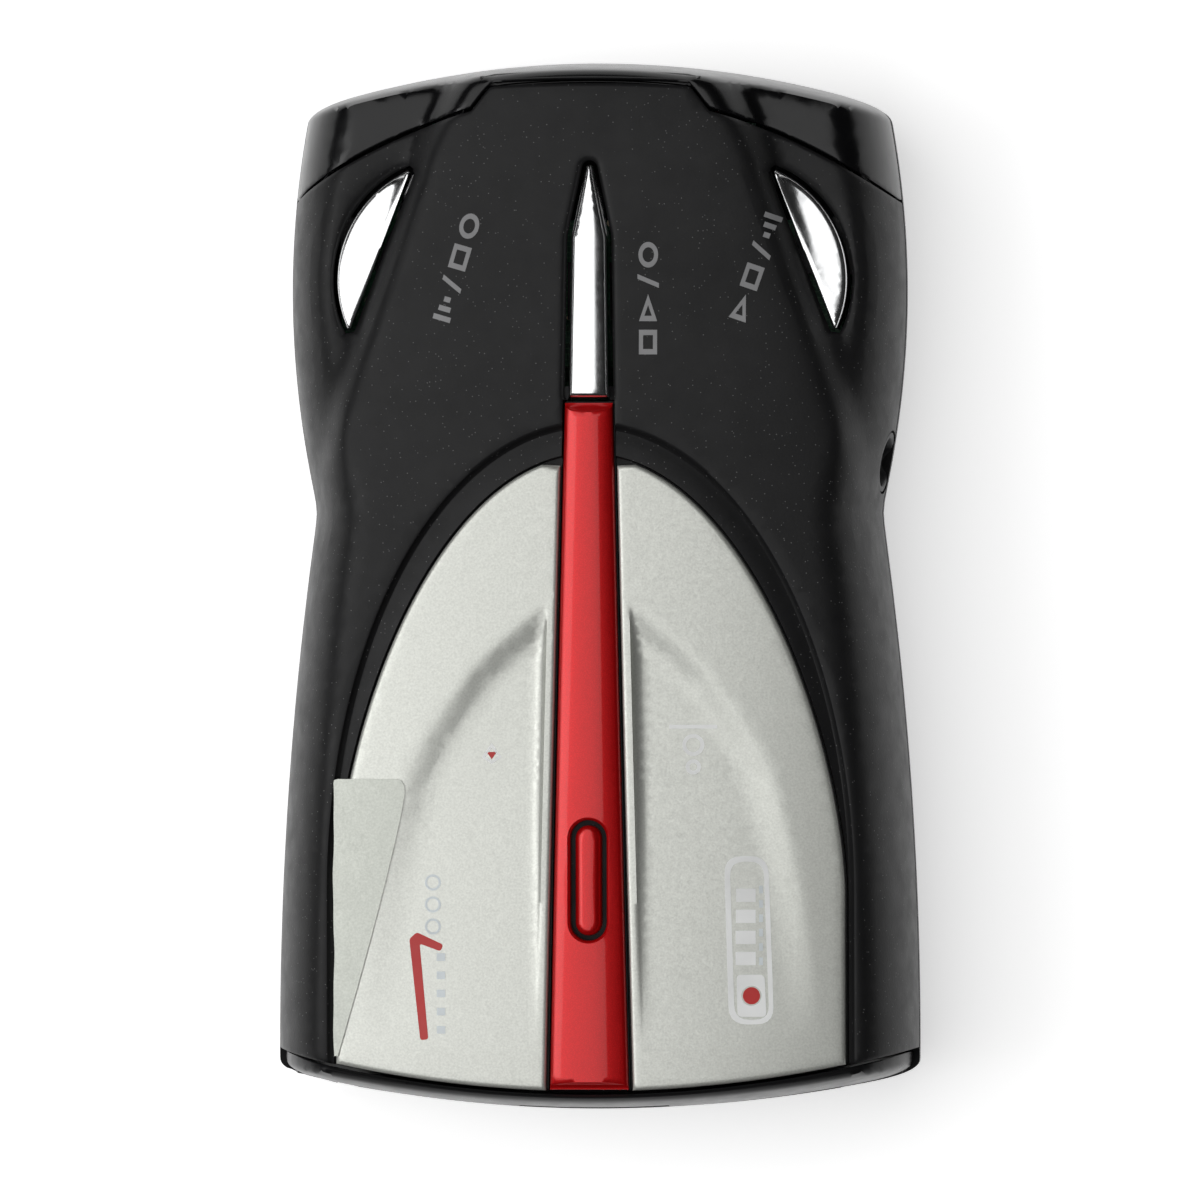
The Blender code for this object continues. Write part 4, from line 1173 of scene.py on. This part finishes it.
def make_screws():
    """Housing screws, heads down, each with a cross recess."""
    head = [(0, 6.0), (1.6, 6.0), (2.2, 6.15), (2.5, 6.6), (2.5, 7.7)]
    shank = [(1.25, 7.7), (1.25, 20.6), (1.1, 21.0), (0, 21.0)]
    screw = turned("screw", head + shank, (0, 0, 0), STEEL, sides=32)
    slots = ((1.5, 0.28), (0.28, 1.5))
    bored(screw, *(block("cross", (-x, -y, 5.0), (x, y, 7.0), STEEL) for x, y in slots))
    return at_points("housing_screws", screw, [(x, y, 0) for x, y in SCREW_PLACES], STEEL)


def make_coil():
    """Release spring: a wound wire standing in the place of the CAD spring."""
    low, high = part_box("release_spring")
    wire = 0.3 * MM
    made = placed("coil_spring", bpy.data.meshes.new("coil_spring"))
    place = ((low[0] + high[0]) / 2, (low[1] + high[1]) / 2, low[2] + wire)
    size = {"Radius": 2.3 * MM, "Height": high[2] - low[2] - 2 * wire, "Wire": wire}
    return grown_by(made, COIL_TREE, Turns=2.5, Place=place, Finish=SPRING, **size)


def make_pad(name, low, high):
    """Soft foot with rounded edges."""
    x0, y0, z0 = (v / MM for v in low)
    x1, y1, z1 = (v / MM for v in high)
    loop = rounded(bar(x0, y0, x1, y1), min(x1 - x0, y1 - y0) * 0.2)
    rims = ((0, 0.35), (0.12, 0.16), (0.4, 0.0))

    def height(x, y):
        return z0 + profile(line_distance(x, y, loop), rims)

    lines = [(loop, True)] + [(grown(wound(loop), -d), True) for d, _ in rims[1:]]
    flat, faces = plan_mesh(lines, filled(loop), 2.0, (x0, y0, x1, y1))
    return closed_piece(name, flat, faces, z1, height, RUBBER)


def make_label():
    """Blank rating label, ruled with a frame and plain bars."""
    low, high = (np.array(c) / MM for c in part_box("rating_label"))
    loop = rounded(bar(*low[:2], *high[:2]), 0.8)
    flat, faces = plan_mesh([(loop, True)], filled(loop), 2.5, (*low[:2], *high[:2]))
    label = closed_piece("blank_label", flat, faces, high[2], low[2], PAPER)
    loops = [grown(wound(loop), -0.4), grown(wound(loop), -0.65)]
    loops += [bar(-11.0, -13.2 + 2.6 * k, 11.0 - 3.0 * (k % 2), -12.4 + 2.6 * k) for k in range(5)]
    loops = [evenly(loop, 1.0) for loop in loops]
    flat, faces = plan_mesh([(loop, True) for loop in loops], odd_inside(loops), 2.0, (-16, -18, 16, 2))
    return label, closed_piece("label_marks", flat, faces, low[2] - 0.004, low[2] - 0.03, CHIP)


def make_speaker():
    """Loudspeaker: basket, cone with its roll surround, and dust cap."""
    rim = [(0, 8.5), (8.0, 8.5), (8.0, 7.2), (14.0, 7.2), (14.0, 5.2), (12.6, 5.2), (12.2, 5.5), (11.4, 5.15)]
    rim += [(10.4, 5.15), (9.8, 5.6), (5.2, 6.6), (4.6, 6.2), (3.0, 5.7), (1.4, 5.45), (0, 5.4)]
    return turned("loudspeaker", rim[::-1], (0, SPEAKER_Y, 0), CHIP, sides=64)


def casing_side(y, z):
    """How far out the side of the casing is at this height."""
    above = (z - PARTING_Z) / (crown_height(30.0, y) - PARTING_Z)
    rise = np.clip(np.where(z > PARTING_Z, above, (PARTING_Z - z) / 10.4), 0, 1)
    return half_width(y) - SIDE_ROUND * (1 - np.sqrt(1 - rise**2))


def make_jack_nose():
    """Ring whose outer face follows the casing's side round the inlet."""
    steps, back = 48, 25.0
    rings = [(INLET_BORE, back), (INLET_BORE, -0.32), (2.6, -0.16), (2.8, -0.06)]
    rings += [(3.1, -0.1), (3.22, -0.3), (3.22, back)]
    turn = np.linspace(0, math.tau, steps, endpoint=False)
    points = []
    for radius, reach in rings:
        y, z = INLET[1] + radius * np.cos(turn), INLET[2] + radius * np.sin(turn)
        x = np.full(steps, reach) if reach == back else casing_side(y, z) + reach
        points.append(np.column_stack([x, y, z]))
    faces = []
    for i in range(len(rings)):
        a, b = i * steps, (i + 1) % len(rings) * steps
        faces += [(a + j, a + (j + 1) % steps, b + (j + 1) % steps, b + j) for j in range(steps)]
    return right_way(new_piece("jack_nose", np.concatenate(points), faces, CHIP))


def right_way(made):
    """The object with its faces turned outwards."""
    bm = bmesh.new()
    bm.from_mesh(made.data)
    bmesh.ops.recalc_face_normals(bm, faces=bm.faces)
    bm.to_mesh(made.data)
    bm.free()
    return made


def make_jack():
    """Power inlet: block, lip and centre pin."""
    body = block("jack_body", (17.5, 8.5, 10.7), (26.2, 17.5, 19.3), CHIP, 0.3)
    nose = make_jack_nose()
    bore = [(0, 20.5), (INLET_BORE, 20.5), (INLET_BORE, 33.0), (0, 33.0)]
    bored(body, turned("bore", bore, INLET, CHIP, lying=True))
    pin = [(0, 19.8), (0.9, 19.8), (0.9, 28.6), (0.6, 29.1), (0, 29.2)]
    return body, nose, turned("jack_pin", pin, INLET, TINNED, lying=True, sides=24)


def make_segments():
    """Lit segments of the display, standing on its face."""
    segment = block("segment", (-0.16, -0.05, -0.8), (0.16, 0.05, 0.8), LED, 0.04)
    places = [(-9.0 + 1.5 * k, 51.06, 15.3 + 3.0 * row) for k in range(13) for row in range(2)]
    return at_points("display_segments", segment, places, LED)


# --- assembly


def settle_on(made, body, slot, *replaced):
    """The piece rides on this body and takes the place of these nodes, which are hidden; slot is not used."""
    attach(made, body)
    if replaced:
        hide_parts(*replaced)


settle_on(make_casing(), ROOT, "black_plastic", "top_housing")
settle_on(make_window(), ROOT, "smoked_window", "display_window")
settle_on(make_antenna_cover(), ROOT, "smoked_window", "front_lens")
settle_on(make_tub(), ROOT, "black_plastic", "bottom_housing")
settle_on(make_panel(-1, "panel_left"), ROOT, "silver_paint", "silver_panel_left")
settle_on(make_panel(1, "panel_right"), ROOT, "silver_paint", "silver_panel_right")
settle_on(make_strip(), ROOT, "red_metallic", "centre_strip")
settle_on(make_film(), ROOT, "foil", "foil_label")
select_cap, set_cap, program_cap, release_cap = make_keys()
settle_on(select_cap, "select_key", "chrome", "select_button")
settle_on(set_cap, "set_key", "chrome", "set_button")
settle_on(program_cap, "program_key", "chrome", "program_button")
settle_on(release_cap, "release_latch", "red_metallic", "release_button")
for mark in make_prints():
    settle_on(mark, ROOT, "label")
wheel, knurls = make_wheel()
settle_on(wheel, "volume", "black_plastic", "volume_wheel")
settle_on(knurls, "volume", "black_plastic")
screw_nodes = [f"housing_screw_{k}" for k in range(1, 5)]
settle_on(make_screws(), ROOT, "screw_steel", *screw_nodes)
coil = make_coil()
settle_on(coil, ROOT, "spring_steel", "release_spring")
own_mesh(coil)
for end in ("front", "rear"):
    settle_on(make_pad(f"{end}_foot", *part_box(f"{end}_pad")), ROOT, "rubber", f"{end}_pad")
label, label_marks = make_label()
settle_on(label, ROOT, "label", "rating_label")
settle_on(label_marks, ROOT, "label")
settle_on(make_speaker(), ROOT, "chip_black", "speaker")
jack_body, jack_nose, jack_pin = make_jack()
settle_on(jack_body, ROOT, "chip_black", "power_jack")
settle_on(jack_nose, ROOT, "chip_black")
settle_on(jack_pin, ROOT, "tinned_steel")
settle_on(make_segments(), ROOT, "lens")

CAD_FINISH = {
    BOARD: ("main_board", "key_board", "display_board"),
    CHIP: (
        "led_display", "board_connector", "processor_chip", "audio_chip", "front_laser_sensor",
        "volume_pot", "select_switch", "set_switch", "program_switch",
        "select_plunger", "set_plunger", "program_plunger",
    ),
    CAST: ("horn_antenna", "latch_stirrup"),
    TINNED: ("rf_shield_can",),
    LENS: ("laser_lens", "rear_laser_sensor"),
    RUBBER: ("speaker_gasket",),
    BLACK: ("bracket_channel",),
    STEEL: ("board_screw_1", "board_screw_2"),
}
for finish, nodes in CAD_FINISH.items():
    for node in nodes:
        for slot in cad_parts[node].material_slots:
            slot.material = finish

# --- stage, light and camera

CAMERA_TILT = math.radians(3.85)
CAMERA_TARGET = Vector((-0.05, -1.475, 12.0)) * MM
CAMERA_DISTANCE = 2.0
VIEW_WIDTH = 126.45 * MM
BACKDROP_LEVEL = 0.95
WORLD_LEVELS = (0.0, 0.8, 0.006, 0.025)  # from and to heights, brightness at each
TABLE_GLOW, TABLE_REACH = 0.54, 1.2
LIGHT_TARGET = Vector((0, 0, 0.02))


def area_light(name, place, power, size, size_y=None):
    """Soft white light aimed at the middle of the object."""
    data = bpy.data.lights.new(name, "AREA")
    data.shape = "RECTANGLE"
    data.size, data.size_y = size, size_y or size
    data.energy = power
    made = placed(name, data)
    made.location = Vector(place)
    made.rotation_euler = (LIGHT_TARGET - made.location).to_track_quat("-Z", "Y").to_euler()


def make_stage():
    mesh = bpy.data.meshes.new("table")
    corners = [(x * TABLE_REACH, y * TABLE_REACH, 0) for x, y in ((-1, -1), (1, -1), (1, 1), (-1, 1))]
    mesh.from_pydata(corners, [], [(0, 1, 2, 3)])
    glow = {"Emission Color": (1, 1, 1, 1), "Emission Strength": TABLE_GLOW, "Specular IOR Level": 0.0}
    white = Finish("table_white", (0.93, 0.93, 0.93), 0.9, **glow)
    shades = (0.92, 0.92, 0.92, 1), (0.94, 0.94, 0.94, 1)
    white.drive("Base Color", white.mix(white.noise(40.0, 2.0), *shades))
    mesh.materials.append(white.material)
    placed("table", mesh)


class Studio(Nodes):
    """Dim surroundings, brighter overhead, in front of a pale backdrop."""

    def __init__(self):
        world = bpy.data.worlds.new("studio")
        world.use_nodes = True
        self.tree = world.node_tree
        place = self.node("ShaderNodeTexCoord").outputs["Generated"]
        height = self.node("ShaderNodeSeparateXYZ", {0: place}).outputs["Z"]
        names = ("From Min", "From Max", "To Min", "To Max")
        level = self.result("ShaderNodeMapRange", {"Value": height, **dict(zip(names, WORLD_LEVELS))})
        seen = self.node("ShaderNodeLightPath").outputs["Is Camera Ray"]
        level = self.result("ShaderNodeMix", {0: seen, 2: level, 3: BACKDROP_LEVEL})
        back = self.tree.nodes["Background"]
        self.tree.links.new(level, back.inputs["Strength"])
        back.inputs["Color"].default_value = (1, 1, 1, 1)
        bpy.context.scene.world = world


def make_light_and_camera():
    Studio()
    area_light("overhead", (-0.34, 0.1, 1.1), 11.5, 1.45)
    area_light("left_window", (-0.9, 0.0, 0.8), 3.0, 0.5, 0.9)
    data = bpy.data.cameras.new("camera")
    data.sensor_width = 36.0
    data.lens = 18.0 * CAMERA_DISTANCE / (VIEW_WIDTH / 2)
    data.clip_start, data.clip_end = 0.05, 20.0
    camera = placed("camera", data)
    away = Vector((math.sin(CAMERA_TILT), 0, math.cos(CAMERA_TILT)))
    camera.location = CAMERA_TARGET + away * CAMERA_DISTANCE
    camera.rotation_euler = (0, CAMERA_TILT, 0)
    bpy.context.scene.camera = camera
    settings = bpy.context.scene.view_settings
    settings.view_transform, settings.look, settings.exposure = "Standard", "None", 0.0


make_stage()
make_light_and_camera()
